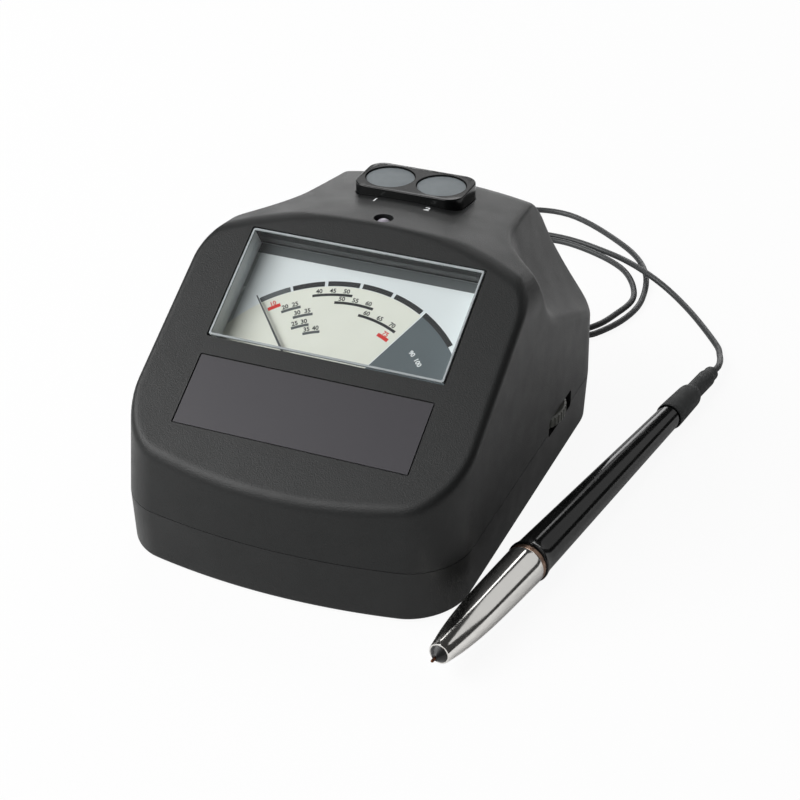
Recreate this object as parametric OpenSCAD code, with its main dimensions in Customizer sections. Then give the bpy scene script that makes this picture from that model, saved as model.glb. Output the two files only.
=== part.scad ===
// Gemstone tester: a wedge-shaped counter housing with a dial meter, a thumbwheel,
// a disc holder and a heated probe pen on a cord.
// The origin lies on the table under the middle of the housing, +Y runs to the rear.

/* [Housing] */
// Width of the housing across its side walls
housing_w = 107.6; // [104:0.2:112]
// Length of the housing from front to rear
housing_l = 147.2; // [144:0.2:152]
// Height of the housing at its crest
housing_h = 83; // [80:0.1:87]
// Height of the joint line between base and upper shell
joint_h = 16.8; // [16:0.1:18]
// Thickness of the moulded walls
wall = 2.2; // [1.8:0.1:2.6]
// Radius of the bow of the front wall
front_bow_r = 196; // [160:1:260]
// Radius of the two front corners
front_corner_r = 14.6; // [12:0.1:18]
// Radius of the two rear corners
rear_corner_r = 21.5; // [18:0.1:24]
// Backward lean of the front wall in degrees
front_lean = 7.2; // [5:0.1:9]
// Forward lean of the upper rear wall in degrees
rear_lean = 14.7; // [12:0.1:17]
// Height at which the rear wall starts to lean
rear_lean_h = 27; // [25:0.5:32]

/* [Panel] */
// Slope of the front panel in degrees
panel_slope = 32.2; // [30:0.1:34]
// Distance from the front wall to the middle of the nameplate
panel_setback = 25.4; // [23:0.1:28]
// Distance up the panel from the middle of the nameplate to the crest
panel_rise = 65.7; // [64:0.1:69]
// Rounding of the long edges of the panel
panel_edge_r = 3.5; // [2.8:0.1:5]
// Depth of the level crest behind the panel
crest_depth = 8.9; // [7.5:0.1:11]
// Width of the nameplate
plate_w = 73.4; // [60:0.2:80]
// Height of the nameplate
plate_l = 22.8; // [18:0.2:24]
// Thickness of the nameplate
plate_t = 0.5; // [0.4:0.1:0.8]

/* [Deck] */
// Radius of the barrel-shaped rear deck
deck_r = 154; // [140:1:180]
// Fall of the deck towards the rear in degrees
deck_fall = 7; // [5:0.1:9]
// Rounding between deck and rear wall
deck_rear_r = 8; // [6:0.1:10]
// Rounding between deck and side walls
shoulder_r = 6.5; // [5:0.1:8]

/* [Finger scoops] */
// Radius of the round scoop that is cut from each rear flank
scoop_r = 60.6; // [58:0.1:63]
// Distance of the scoop axis outside the side wall
scoop_out = 37; // [35:0.1:40]
// Height of the scoop axis above the crest
scoop_rise = 21.5; // [19:0.1:24]
// Distance of the scoop axis point behind the crest edge
scoop_setback = 17.5; // [14:0.1:20]
// Fall of the scoop axis towards the rear in degrees
scoop_fall = 23.1; // [20:0.1:26]
// Reach of the scoop in front of its axis point
scoop_reach = 15.2; // [12:0.1:18]
// Rounding of the scoop's front end
scoop_end_r = 32.6; // [28:0.1:36]

/* [Meter] */
// Width of the meter window
window_w = 74.6; // [70:0.2:76]
// Height of the meter window
window_l = 38; // [34:0.2:39]
// Distance up the panel from the middle of the nameplate to the window
window_s = 18.3; // [17:0.1:19]
// Wall of the clear window cover
window_t = 1.5; // [1.2:0.1:2]
// Depth of the dial below the panel
dial_depth = 8; // [7.6:0.1:9]
// Thickness of the dial plate
dial_t = 0.8; // [0.5:0.1:1.2]
// Depth of the meter case behind the panel
case_depth = 26; // [25:0.2:29]
// Distance up the panel from the middle of the nameplate to the needle pivot
pivot_s = 3; // [2:0.1:4]
// Length of the needle from pivot to tip
needle_l = 45.9; // [42:0.1:46.5]
// Angle of the resting needle, counted from the right
needle_rest = 132; // [126:1:136]
// Swing of the needle in degrees
needle_swing = 87; // [70:1:90]
// Radius of the iron core inside the moving coil
core_r = 7; // [6:0.1:7.6]
// Height of the iron core
core_h = 10; // [8:0.1:10.6]

/* [Controls] */
// Radius of the thumbwheel
wheel_r = 15; // [13:0.1:18]
// Thickness of the thumbwheel
wheel_t = 4; // [3:0.1:4.6]
// How far the thumbwheel stands out of the side wall
wheel_proud = 1.2; // [0.8:0.1:2.4]
// Distance of the thumbwheel axis from the rear wall
wheel_setback = 47; // [44:0.1:50]
// Number of grip notches round the thumbwheel
wheel_notches = 48; // [24:1:50]
// Diameter of the ready lamp's hole
lamp_hole_d = 6.1; // [5.6:0.1:7]
// Width of the disc holder
holder_w = 35.8; // [33:0.2:38]
// Depth of the disc holder from front to rear
holder_l = 19; // [17.4:0.2:21]
// Height of the disc holder
holder_h = 5.9; // [5:0.1:7]
// Height of the holder's top above the crest
holder_proud = 1.2; // [0.5:0.1:2]
// Distance of the holder's middle behind the crest edge
holder_setback = 29.9; // [27:0.1:32]
// Diameter of the test discs
disc_d = 15.4; // [12:0.1:16]
// Distance between the middles of the two discs
disc_pitch = 17.1; // [16.6:0.1:19]
// Thickness of the test discs
disc_t = 1.2; // [0.8:0.1:1.8]
// How far the discs lie below the holder's top
disc_sink = 0.5; // [0.2:0.1:0.8]

/* [Base] */
// How far the feet lift the underside off the table
foot_proud = 0.25; // [0.15:0.05:0.3]
// Diameter of the rubber feet
foot_d = 12; // [9:0.5:13]
// Thickness of the rubber feet
foot_t = 1.25; // [1:0.05:1.4]
// Diameter of a battery cell
cell_d = 14.5; // [13.5:0.1:14.5]
// Length of a battery cell with its button
cell_l = 50.5; // [49:0.1:51]
// Number of battery cells
cell_n = 3; // [2:1:3]
// Thickness of the battery door
door_t = 1.4; // [1.2:0.1:1.6]
// Height of the circuit board above the floor
board_lift = 5.5; // [4.5:0.1:6]
// Thickness of the circuit board
board_t = 1.6; // [1.2:0.1:2]

/* [Probe pen] */
// Length of the pen from the nose's front ring to the strain relief's end
pen_l = 184.7; // [176:0.1:192]
// Length of the metal nose
nose_l = 49.5; // [43:0.5:54]
// Radius of the nose at its wide end
nose_r = 6.25; // [5.9:0.05:6.6]
// Radius of the nose at its front ring
nose_tip_r = 3.2; // [2.9:0.1:3.5]
// Width of the copper ring behind the nose
ring_l = 1.2; // [0.8:0.1:2]
// Radius of the flared lip at the barrel's front end
lip_r = 6.65; // [6.3:0.05:7]
// Length of the flare behind the barrel's front end
flare_l = 5; // [3:0.1:8]
// Radius of the barrel behind its flare
barrel_r = 6.1; // [5.8:0.1:6.4]
// Radius of the barrel at its rear end
barrel_tail_r = 4.05; // [3.8:0.05:4.2]
// Length of the rubber collar
collar_l = 19; // [16:0.5:22]
// Radius of the rubber collar at its front edge
collar_r = 4.55; // [4.4:0.05:5]
// Length of the strain relief behind the collar
relief_l = 17; // [14:0.5:20]
// Radius of the strain relief
relief_r = 3; // [2.4:0.1:3.2]
// Radius of the copper tip pin
tip_r = 0.45; // [0.35:0.05:0.9]
// Travel of the tip pin when it is pressed in
tip_travel = 1.2; // [0.8:0.1:1.8]
// Turn of the pen away from the housing's long axis in degrees
pen_turn = 8.6; // [6:0.1:10]

/* [Clearances] */
// Gap round inserted plates and covers
fit_gap = 0.2; // [0.1:0.05:0.3]
// Gap round pieces that slide or turn past others
slide_gap = 0.3; // [0.25:0.05:0.4]
// Radial gap of shafts and pins in their bores
run_gap = 0.05; // [0.02:0.01:0.1]

/* [Hidden] */
$fn = 64;

// Colours of the moulded and metal pieces
charcoal = "#3a3b3b";
gloss_black = "#151516";
copper = "#a8643c";
steel = "#b9bcbe";

// Housing
half_w = housing_w / 2;
front_y = -housing_l / 2;
rear_y = housing_l / 2;
panel_y = front_y + panel_setback;
panel_h = housing_h - panel_rise * sin(panel_slope);
crest_y = panel_y + panel_rise * cos(panel_slope);
crest_z = housing_h;
deck_y = crest_y + crest_depth;
far = 2 * housing_l;
fine_fn = 180;
// The crossing walls stand a little apart so that none of them coincide
wall_ease = 0.05;
// Narrow conical bands that make up the roundings of deck and scoops
deck_bands = 6;
scoop_bands = 10;

// Joint line, lip and case screws
floor_z = foot_proud + wall;
lip_gap = 0.4;
lip_t = 1.2;
lip_h = 1.5;
post_r = 4.2;
case_screw_d = 3;
case_head_d = 5.6;
case_head_h = 2.2;
case_seat_z = floor_z + 5.5;
case_screw_l = 20;
front_post_in = [wall + 5.4, 23.6];
rear_post_in = [wall + 9.8, 11.6];
post_spots = [
  for (side = [-1, 1]) [side * (half_w - front_post_in[0]), front_y + front_post_in[1]],
  for (side = [-1, 1]) [side * (half_w - rear_post_in[0]), rear_y - rear_post_in[1]]
];
small_head_d = 4.2;
small_head_h = 1.4;

// Meter
case_t = 1.6;
mask_t = 1.8;
window_top = 0.2;
window_hi = window_s + window_l;
case_w = window_w + 2 * (fit_gap + case_t + 1.4);
case_lo = pivot_s - 17;
case_hi = window_hi + fit_gap + case_t;
case_back = -case_depth + case_t;
dial_w = case_w - 2 * case_t - 2 * fit_gap;
dial_lo = pivot_s + 5;
dial_rib = 2.4;
dial_rib_l = 30;
dial_rib_h = 5;
ear_r = 3.2;
ear_t = 2;
ear_n = -wall - 6;
ear_x = case_w / 2 + ear_r;
ear_rows = [12, 45];
ear_spots = [for (side = [-1, 1], s = ear_rows) [side * ear_x, s]];
meter_screw_d = 2.2;
meter_screw_grip = 4;
pillar_r = 1.6;
coil_gap = core_r / 8;
coil_bar = core_h / 8;
coil_in_r = core_r + coil_gap;
coil_out_r = coil_in_r + core_r / 5;
coil_w = core_r / 2;
yoke_in_r = coil_out_r + coil_gap;
yoke_out_r = yoke_in_r + core_r / 2;
core_n = case_back + 0.4 + coil_bar + coil_gap;
coil_n = core_n - coil_gap - coil_bar;
coil_h = core_h + 2 * (coil_gap + coil_bar);
yoke_over = 1;
yoke_n = core_n - yoke_over;
yoke_h = core_h + 2 * yoke_over;
core_lug_w = 5;
core_lug_in = 2;
shaft_r = 0.6;
core_bore_r = 1.4;
bridge_t = 1;
bridge_w = 2 * pillar_r + 1.8;
bridge_n = -dial_depth + 2.6;
needle_n = -dial_depth + 1.4;
needle_t = 0.4;
needle_root_w = 1;
needle_tip_w = 0.4;
needle_tail = 9;
coil_turn = needle_swing / 2;

// Disc holder and lamp
holder_y = crest_y + holder_setback;
holder_top = crest_z + holder_proud;
seat_z = holder_top - holder_h;
holder_r = 5;
holder_bevel = 0.4;
holder_screw_d = 2.4;
holder_screw_grip = 3;
holder_screw_x = holder_w / 2 - 4.4;
lamp_y = crest_y + crest_depth / 2;
lamp_sink = 1.6;
lamp_flange_h = 1;
lamp_tube_h = 8;
lamp_tube_t = 1.9;
lamp_body_h = 7;

// Thumbwheel and its slot
wheel_x = half_w + wheel_proud - wheel_r;
wheel_y = rear_y - wheel_setback;
wheel_z = joint_h + 1.4;
wheel_room_r = wheel_r + 2 * slide_gap;
slot_l = 2 * (sqrt(pow(wheel_room_r, 2) - pow(wheel_r - wheel_proud - wall, 2)) + slide_gap);
slot_h = wheel_t + 2;
slot_corner_r = 1;
pot_w = 11;
pot_gap = 1;
wheel_shaft_r = 3;
wheel_boss_r = 4.6;
wheel_rim = 3;
wheel_dish = 1;
notch_r = 0.7;
notch_depth = 0.35;

// Board
board_z = floor_z + board_lift;
board_x = half_w - wall - post_r - 7.2;
board_y0 = front_y + wall + 7;
board_y1 = -4;
board_arm_x = wheel_x - 14;
board_arm_y = wheel_y + 17;
board_screw_d = 2.2;
standoff_r = 3;
board_spots = [
  [-board_x + 5, board_y0 + 7], [board_x - 5, board_y0 + 7],
  [-board_x + 5, board_y1 - 6], [board_x - 5, board_y1 - 6],
  [board_arm_x + 5, board_arm_y - 5]
];
// Parts on the board, counted from the middle of its front edge
board_blocks = [[-24, 17.4, 19.6, 6.4, 3.6], [6, 14.4, 9.8, 6.4, 3.6], [-12, 40.4, 12, 8, 5]];
board_cans = [[26, 22.4, 4], [-34, 42.4, 3.2]];
can_h = 6;

// Battery bay, cells and door
bay_wall = 1.6;
cell_pitch = cell_d + 0.7;
rib_w = 1.2;
bay_w = cell_n * cell_pitch + 2 * rib_w + 0.6;
bay_y1 = rear_y - wall - 15.2;
bay_y0 = bay_y1 - bay_w;
contact_l = 3.6;
bay_x0 = -half_w + wall + lip_gap + lip_t + bay_wall;
bay_x1 = bay_x0 + cell_l + 2 * contact_l + 2 * slide_gap;
ledge_w = 1.5;
ledge_z = foot_proud + door_t - 0.05;
flange_z = ledge_z + fit_gap;
flange_t = 1.2;
door_top = flange_z + flange_t;
rib_z = door_top + slide_gap;
cell_z = rib_z + 0.25 + cell_d / 2;
bay_top = cell_z + cell_d / 2 + 0.4;
cell_x = (bay_x0 + bay_x1) / 2;
cell_y0 = bay_y0 + rib_w + 0.3 + cell_pitch / 2;
door_grips = 4;
door_grip_w = 1.6;
door_grip_l = 16;
door_grip_t = 0.4;
cell_button_d = 5.2;
contact_w = 0.55 * cell_d;
contact_half = 0.35 * cell_d;
contact_bend = 0.25 * cell_d;
contact_tip = 0.8;

// Feet
front_foot_in = [18, 15.6];
rear_foot_in = [27, 10];
foot_spots = [
  for (side = [-1, 1]) [side * (half_w - front_foot_in[0]), front_y + front_foot_in[1]],
  for (side = [-1, 1]) [side * (half_w - rear_foot_in[0]), rear_y - rear_foot_in[1]]
];

// Probe cord: its route from the gland over the table to the pen, with y counted from the rear wall
cord_d = 2.2;
cord_low = 1.2;
cord_sides = 8;
cord_steps = 2;
cord_spots = [
  [-30, 12.4, joint_h], [-30, 18.4, joint_h - 0.2], [-30, 26.4, 13], [-30, 36.4, 6.5], [-30, 48.4, 1.6],
  [-27, 68.4, 1.2], [-16, 92.4, 1.2], [0, 101.9, 1.2], [17, 98.9, 1.2], [34.5, 87.9, 1.2],
  [44, 69.4, 1.2], [42, 53.4, 1.2], [36, 39.4, 1.2], [20, 24.4, 1.2], [-6, 15.4, 1.2],
  [-34, 18.4, 1.2], [-54, 38.4, 1.2], [-58, 72.4, 1.2], [-46, 104.4, 1.2], [-24, 121.4, 1.2],
  [0, 126.4, 1.2], [28, 108.4, 1.2], [42, 90.4, 1.2], [47.5, 68.4, 1.2], [46, 51.4, 1.2],
  [39, 35.9, 1.2], [30, 28.4, 3.2], [20, 24.9, 4], [8, 24.4, 2.8], [-30, 32.4, 1.2],
  [-44, 58.4, 1.2], [-24, 98.4, 1.2], [0, 105.9, 1.2], [25, 99.4, 1.4], [44.5, 83.9, 3.9],
  [61, 71.9, 1.3], [80, 47.4, 1.2], [84.8, 36.9, 2], [86.8, 27.4, 3.5], [86, 21.4, 3.7]
];
cord_route = [for (p = cord_spots) p + [0, rear_y, 0]];
cord_face_gap = 0.1;

// Cord gland at the rear wall
gland_x = cord_route[0][0];
gland_z = joint_h;
gland_hole_r = 3.5;
gland_flange_r = 5;
gland_flange_t = 1.8;
gland_reach = cord_route[0][1] - rear_y - cord_face_gap;
gland_end_r = 1.9;

// Probe pen, with u counted from the front ring of the nose towards the cord
pen_tail = cord_route[len(cord_route) - 1];
collar_u = pen_l - relief_l - collar_l;
relief_u = pen_l - relief_l;
barrel_u = nose_l + ring_l;
lip_u = barrel_u + 0.4;
// The pen lies on its lip and on the collar's front edge, a hair above the table
pen_tilt = atan((lip_r - collar_r) / (collar_u + 1 - lip_u));
pen_tail_z = lip_r / cos(pen_tilt) - (pen_l - lip_u) * sin(pen_tilt) + 0.05;
nose_swell = 0.72;
nose_bands = 10;
nose_bore_r = 2.2;
guide_l = 12;
guide_out = 2.2;
guide_end_r = tip_r + 0.4;
tip_out = tip_travel + 0.6;
tip_collar_r = 1.5;
tip_collar_l = 1.4;
carrier_r = 1.9;
carrier_l = 6;
tip_collar_u = guide_l + slide_gap;
carrier_u = tip_collar_u + tip_collar_l;
spring_u = carrier_u + carrier_l + 0.1;
spring_l = 12;
spring_r = 1.6;
spring_wire_r = 0.25;
spring_turns = 9;
spigot_u = spring_u + spring_l + 0.1;
spigot_r = 4.2;
spigot_back = barrel_u + 11;
sleeve_r = 2.4;
barrel_bore_r = 2.6;
tenon_l = 6;

// Shared shapes

// Points along an arc from one angle to another in equal bands
function arc_points(centre, r, from, to, bands) = [
  for (i = [0 : bands])
    let (q = from + (to - from) * i / bands) centre + r * [cos(q), sin(q)]
];

// Outline with a bowed front edge at the origin, rounded corners and straight sides along +Y
module bowed_outline(hw, bow_r, corner_r, length) {
  corner_x = hw - corner_r;
  corner_y = bow_r - sqrt(pow(bow_r - corner_r, 2) - pow(corner_x, 2));
  wedge = 1.2 * bow_r / (bow_r - corner_r);
  intersection() {
    translate([0, bow_r]) circle(bow_r, $fn = 2 * fine_fn);
    polygon([
      [0, bow_r],
      [-corner_x * wedge, bow_r - (bow_r - corner_y) * wedge],
      [corner_x * wedge, bow_r - (bow_r - corner_y) * wedge]
    ]);
  }
  for (side = [-1, 1]) translate([side * corner_x, corner_y]) circle(corner_r);
  translate([-hw, corner_y]) square([2 * hw, length - corner_y]);
}

// Rectangle centred on the origin with round corners
module round_rect(w, l, r) {
  square([w - 2 * r, l], center = true);
  square([w, l - 2 * r], center = true);
  for (sx = [-1, 1], sy = [-1, 1]) translate([sx * (w / 2 - r), sy * (l / 2 - r)]) circle(r);
}

// Long strip along Y that ends at the rear wall with round corners
module rear_outline(hw, end_y, corner_r) {
  translate([-hw, front_y - 10]) square([2 * hw, end_y - corner_r - front_y + 10]);
  translate([corner_r - hw, front_y - 10]) square([2 * (hw - corner_r), end_y - front_y + 10]);
  for (side = [-1, 1]) translate([side * (hw - corner_r), end_y - corner_r]) circle(corner_r);
}

// Plan of the base, drawn in from the outside by an inset
module plan(inset) {
  intersection() {
    translate([0, front_y + inset])
      bowed_outline(half_w - inset, front_bow_r - inset, front_corner_r - inset, far);
    rear_outline(half_w - inset + wall_ease, rear_y - inset, rear_corner_r - inset);
  }
}

// Frame of the panel: X across, Y up the slope from the nameplate's middle, Z outwards
module on_panel() {
  translate([0, panel_y, panel_h]) rotate([panel_slope, 0, 0]) children();
}

// Frame whose Z axis runs to the rear and falls by an angle
module falling(angle) {
  rotate([-90 - angle, 0, 0]) children();
}

// Meter frame: the panel frame moved to the needle pivot
module on_pivot() {
  on_panel() translate([0, pivot_s, 0]) children();
}

// Pen frame: Z runs along the pen from the nose's front ring towards the cord
module on_pen() {
  translate([pen_tail[0], pen_tail[1], pen_tail_z])
    rotate([0, 0, -pen_turn])
      falling(pen_tilt)
        translate([0, 0, -pen_l - cord_face_gap]) children();
}

// Pan-head screw with its seat at the origin and its shank along +Z
module pan_screw(d, length, head_d, head_h) {
  cylinder(h = length, d = d, $fn = 24);
  translate([0, 0, -head_h]) cylinder(h = head_h, d = head_d, $fn = 32);
}

// Walls that bound the upper shell, each drawn in by an inset
module front_wall(inset) {
  translate([0, front_y, joint_h])
    rotate([-front_lean, 0, 0])
      translate([0, inset, -far / 2])
        linear_extrude(far)
          bowed_outline(half_w + wall_ease - inset, front_bow_r - inset, front_corner_r - inset, far);
}

module shoulder_walls(inset) {
  translate([0, deck_y, crest_z])
    falling(deck_fall)
      translate([0, inset - wall_ease, -far / 2])
        linear_extrude(far)
          bowed_outline(half_w - inset, deck_r + wall_ease - inset, shoulder_r - inset, far);
}

// Barrel of the deck with its rounded, leaning rear end
module deck_barrel(inset) {
  r = deck_r - inset;
  round_r = deck_rear_r - inset;
  slant = rear_lean + deck_fall;
  foot_t_axis = (rear_y - deck_y) * cos(deck_fall) - (rear_lean_h - crest_z) * sin(deck_fall);
  foot_rho = deck_r + (rear_y - deck_y) * sin(deck_fall) + (rear_lean_h - crest_z) * cos(deck_fall);
  edge_t = foot_t_axis - inset / cos(slant) - (r - foot_rho) * tan(slant);
  round_t = edge_t - round_r * (1 - sin(slant)) / cos(slant);
  translate([0, deck_y, crest_z])
    falling(deck_fall)
      translate([0, deck_r, 0])
        rotate_extrude($fn = 2 * fine_fn)
          polygon([
            [0, -far / 2],
            [r, -far / 2],
            each arc_points([r - round_r, round_t], round_r, 0, 90 - slant, deck_bands),
            [0, edge_t + r * tan(slant)]
          ]);
}

module panel_slab(inset) {
  hw = half_w + wall_ease - inset;
  r = panel_edge_r - inset;
  on_panel() translate([0, far / 2, -inset]) rotate([90, 0, 0]) linear_extrude(far) {
    translate([-hw, -far]) square([2 * hw, far - r]);
    translate([r - hw, -far]) square([2 * (hw - r), far]);
    for (side = [-1, 1]) translate([side * (hw - r), -r]) circle(r);
  }
}

// Round scoops in the rear flanks, grown by an amount for the inner side of the wall
module scoops(grow) {
  r = scoop_r + grow;
  end_r = scoop_end_r + grow;
  start = -scoop_reach - grow;
  for (side = [-1, 1])
    translate([side * (half_w + scoop_out), crest_y + scoop_setback, crest_z + scoop_rise])
      falling(scoop_fall)
        rotate_extrude($fn = fine_fn)
          polygon([
            [0, start],
            each arc_points([r - end_r, start + end_r], end_r, -90, 0, scoop_bands),
            [r, start + far],
            [0, start + far]
          ]);
}

// Closed form of the upper shell between a lower height and the crest
module hood(inset, low_z) {
  difference() {
    intersection() {
      front_wall(inset);
      linear_extrude(far) rear_outline(half_w + wall_ease - inset, rear_y - inset, rear_corner_r - inset);
      shoulder_walls(inset);
      deck_barrel(inset);
      panel_slab(inset);
      translate([-far / 2, -far / 2, low_z]) cube([far, far, crest_z - inset - low_z]);
    }
    scoops(inset);
  }
}

// Slot for the thumbwheel across the right side wall
module wheel_slot() {
  translate([half_w - wall - lip_gap - lip_t - 0.6, wheel_y, wheel_z])
    rotate([90, 0, 90])
      linear_extrude(wall + lip_gap + lip_t + 2) round_rect(slot_l, slot_h, slot_corner_r);
  translate([wheel_x, wheel_y, wheel_z - slot_h / 2])
    cylinder(h = slot_h, r = wheel_room_r, $fn = fine_fn);
}

// Hole for the cord gland through the rear wall
module gland_hole() {
  translate([gland_x, rear_y + 1, gland_z])
    rotate([90, 0, 0]) cylinder(h = wall + 2, r = gland_hole_r);
  translate([gland_x, rear_y - wall, gland_z])
    rotate([90, 0, 0]) cylinder(h = gland_flange_t + 1, r = gland_flange_r + fit_gap);
}

// Housing pieces

module upper_shell() {
  color(charcoal) difference() {
    union() {
      difference() {
        hood(0, joint_h);
        hood(wall, joint_h - 1);
      }
      intersection() {
        hood(wall / 2, joint_h);
        union() {
          for (p = post_spots) translate([p[0], p[1], 0]) cylinder(h = far, r = post_r);
          translate([0, lamp_y, crest_z - lamp_tube_h])
            cylinder(h = far, r = lamp_hole_d / 2 + lamp_tube_t);
          translate([0, holder_y, seat_z - wall])
            linear_extrude(far) round_rect(holder_w + 2 * wall, holder_l + 2 * wall, holder_r);
          on_panel() for (p = ear_spots) translate([p[0], p[1], ear_n])
            cylinder(h = -ear_n, r = ear_r - fit_gap);
        }
      }
    }
    on_panel() {
      translate([-window_w / 2 - fit_gap, window_s - fit_gap, -wall - 1])
        cube([window_w + 2 * fit_gap, window_l + 2 * fit_gap, wall + 2]);
      translate([-plate_w / 2 - fit_gap, -plate_l / 2 - fit_gap, -plate_t])
        cube([plate_w + 2 * fit_gap, plate_l + 2 * fit_gap, 2]);
      for (p = ear_spots) translate([p[0], p[1], ear_n - 1])
        cylinder(h = meter_screw_grip + 1.6, d = meter_screw_d + 2 * run_gap, $fn = 24);
    }
    translate([0, holder_y, seat_z])
      linear_extrude(far) round_rect(holder_w + 2 * fit_gap, holder_l + 2 * fit_gap, holder_r + fit_gap);
    for (side = [-1, 1]) translate([side * holder_screw_x, holder_y, seat_z - far / 2])
      cylinder(h = far, d = holder_screw_d + 2 * run_gap, $fn = 24);
    translate([0, lamp_y, crest_z - far / 2]) cylinder(h = far, d = lamp_hole_d);
    for (p = post_spots) translate([p[0], p[1], joint_h - 1])
      cylinder(h = case_seat_z + case_screw_l - joint_h + 2, d = case_screw_d + 2 * run_gap, $fn = 24);
    wheel_slot();
    gland_hole();
  }
}

module lower_base() {
  color(charcoal) difference() {
    union() {
      difference() {
        translate([0, 0, foot_proud]) linear_extrude(joint_h - foot_proud) plan(0);
        translate([0, 0, floor_z]) linear_extrude(joint_h) plan(wall);
      }
      difference() {
        union() {
          translate([0, 0, joint_h - 3]) linear_extrude(3) plan(wall - 0.5);
          translate([0, 0, joint_h - 0.1]) linear_extrude(lip_h + 0.1) plan(wall + lip_gap);
        }
        linear_extrude(far) plan(wall + lip_gap + lip_t);
        for (p = post_spots) translate([p[0], p[1], joint_h]) cylinder(h = far, r = post_r + fit_gap);
      }
      for (p = post_spots) translate([p[0], p[1], floor_z - 0.5])
        cylinder(h = joint_h - floor_z + 0.5, r = post_r);
      for (p = board_spots) translate([p[0], p[1], floor_z - 0.5])
        cylinder(h = board_lift + 0.5, r = standoff_r);
      translate([bay_x0 - bay_wall, bay_y0 - bay_wall, floor_z - 0.5])
        cube([bay_x1 - bay_x0 + 2 * bay_wall, bay_w + 2 * bay_wall, bay_top + bay_wall - floor_z + 0.5]);
    }
    battery_bay();
    for (p = post_spots) translate([p[0], p[1], 0]) {
      translate([0, 0, -1]) cylinder(h = far, d = case_screw_d + 2 * fit_gap, $fn = 32);
      translate([0, 0, -1]) cylinder(h = case_seat_z + 1, d = case_head_d + 2 * fit_gap, $fn = 32);
    }
    for (p = board_spots) translate([p[0], p[1], floor_z + 1])
      cylinder(h = far, d = board_screw_d + 2 * run_gap, $fn = 24);
    for (p = foot_spots) translate([p[0], p[1], -1])
      cylinder(h = foot_t + 1, d = foot_d + 2 * fit_gap);
    wheel_slot();
    gland_hole();
  }
}

// Space of the battery bay with the rails of its door, open through the left wall
module battery_bay() {
  difference() {
    translate([bay_x0, bay_y0, ledge_z]) cube([bay_x1 - bay_x0, bay_w, bay_top - ledge_z]);
    for (y = [bay_y0 - 1, bay_y1 - rib_w]) translate([bay_x0 - 1, y, rib_z])
      cube([bay_x1 - bay_x0 + 2, rib_w + 1, 1]);
  }
  translate([-half_w - 1, bay_y0, ledge_z])
    cube([bay_x0 + half_w + 2, bay_w, rib_z - ledge_z]);
  translate([-half_w - 1, bay_y0 + ledge_w, -1])
    cube([bay_x1 + half_w + 1, bay_w - 2 * ledge_w, ledge_z + 2]);
}

module nameplate() {
  color("#4b494d") on_panel() translate([-plate_w / 2, -plate_l / 2, -plate_t])
    cube([plate_w, plate_l, plate_t - 0.05]);
}

module rubber_feet() {
  color("#1f1f20") for (p = foot_spots) translate([p[0], p[1], 0]) cylinder(h = foot_t, d = foot_d);
}

module case_screws() {
  color(steel) for (p = post_spots) translate([p[0], p[1], case_seat_z])
    pan_screw(case_screw_d, case_screw_l, case_head_d, case_head_h);
}

// Meter pieces

module meter_window() {
  color("#e8eef2", 0.4) on_panel() difference() {
    translate([-window_w / 2, window_s, -dial_depth])
      cube([window_w, window_l, dial_depth - window_top]);
    translate([-window_w / 2 + window_t, window_s + window_t, -dial_depth - 1])
      cube([window_w - 2 * window_t, window_l - 2 * window_t, dial_depth + 1 - window_top - window_t]);
    translate([-window_w / 2 - 1, window_s - 1, -dial_depth - 1])
      cube([window_w + 2, window_t + 2, 4]);
  }
}

module meter_case() {
  color(gloss_black) on_panel() difference() {
    union() {
      translate([-case_w / 2, case_lo, -case_depth])
        cube([case_w, case_hi - case_lo, case_depth - wall]);
      for (p = ear_spots) translate([0, 0, ear_n - ear_t]) {
        translate([p[0], p[1], 0]) cylinder(h = ear_t, r = ear_r);
        translate([min(p[0], 0), p[1] - ear_r, 0]) cube([abs(p[0]), 2 * ear_r, ear_t]);
      }
    }
    difference() {
      translate([-case_w / 2 + case_t, case_lo + case_t, case_back])
        cube([case_w - 2 * case_t, case_hi - case_lo - 2 * case_t, -wall - mask_t - case_back]);
      for (side = [-1, 1])
        translate([side * (case_w / 2 - case_t) - dial_rib, window_hi - dial_rib_l,
                   -dial_depth - dial_t - dial_rib_h])
          cube([2 * dial_rib, dial_rib_l + case_hi - window_hi, dial_rib_h]);
      translate([0, pivot_s, case_back - 1]) for (turn = [45, 135, 225, 315])
        rotate([0, 0, turn]) translate([(yoke_in_r + yoke_out_r) / 2, 0, 0])
          cylinder(h = yoke_n - case_back + 1, r = pillar_r, $fn = 32);
    }
    translate([-window_w / 2 - fit_gap, window_s - fit_gap, -wall - mask_t - 1])
      cube([window_w + 2 * fit_gap, window_l + 2 * fit_gap, mask_t + 2]);
    translate([0, pivot_s, case_back - 0.8]) cylinder(h = 2, r = shaft_r + run_gap, $fn = 32);
    for (p = ear_spots) translate([p[0], p[1], ear_n - ear_t - 1])
      cylinder(h = ear_t + 2, d = meter_screw_d + 2 * fit_gap, $fn = 24);
  }
}

module dial_plate() {
  color("#dfe3e2") on_panel() translate([-dial_w / 2, dial_lo, -dial_depth - dial_t])
    cube([dial_w, case_hi - case_t - fit_gap - dial_lo, dial_t]);
}

module meter_yoke() {
  color("#6d7073") on_pivot() translate([0, 0, yoke_n]) difference() {
    cylinder(h = yoke_h, r = yoke_out_r);
    translate([0, 0, -1]) cylinder(h = yoke_h + 2, r = yoke_in_r);
  }
}

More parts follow.
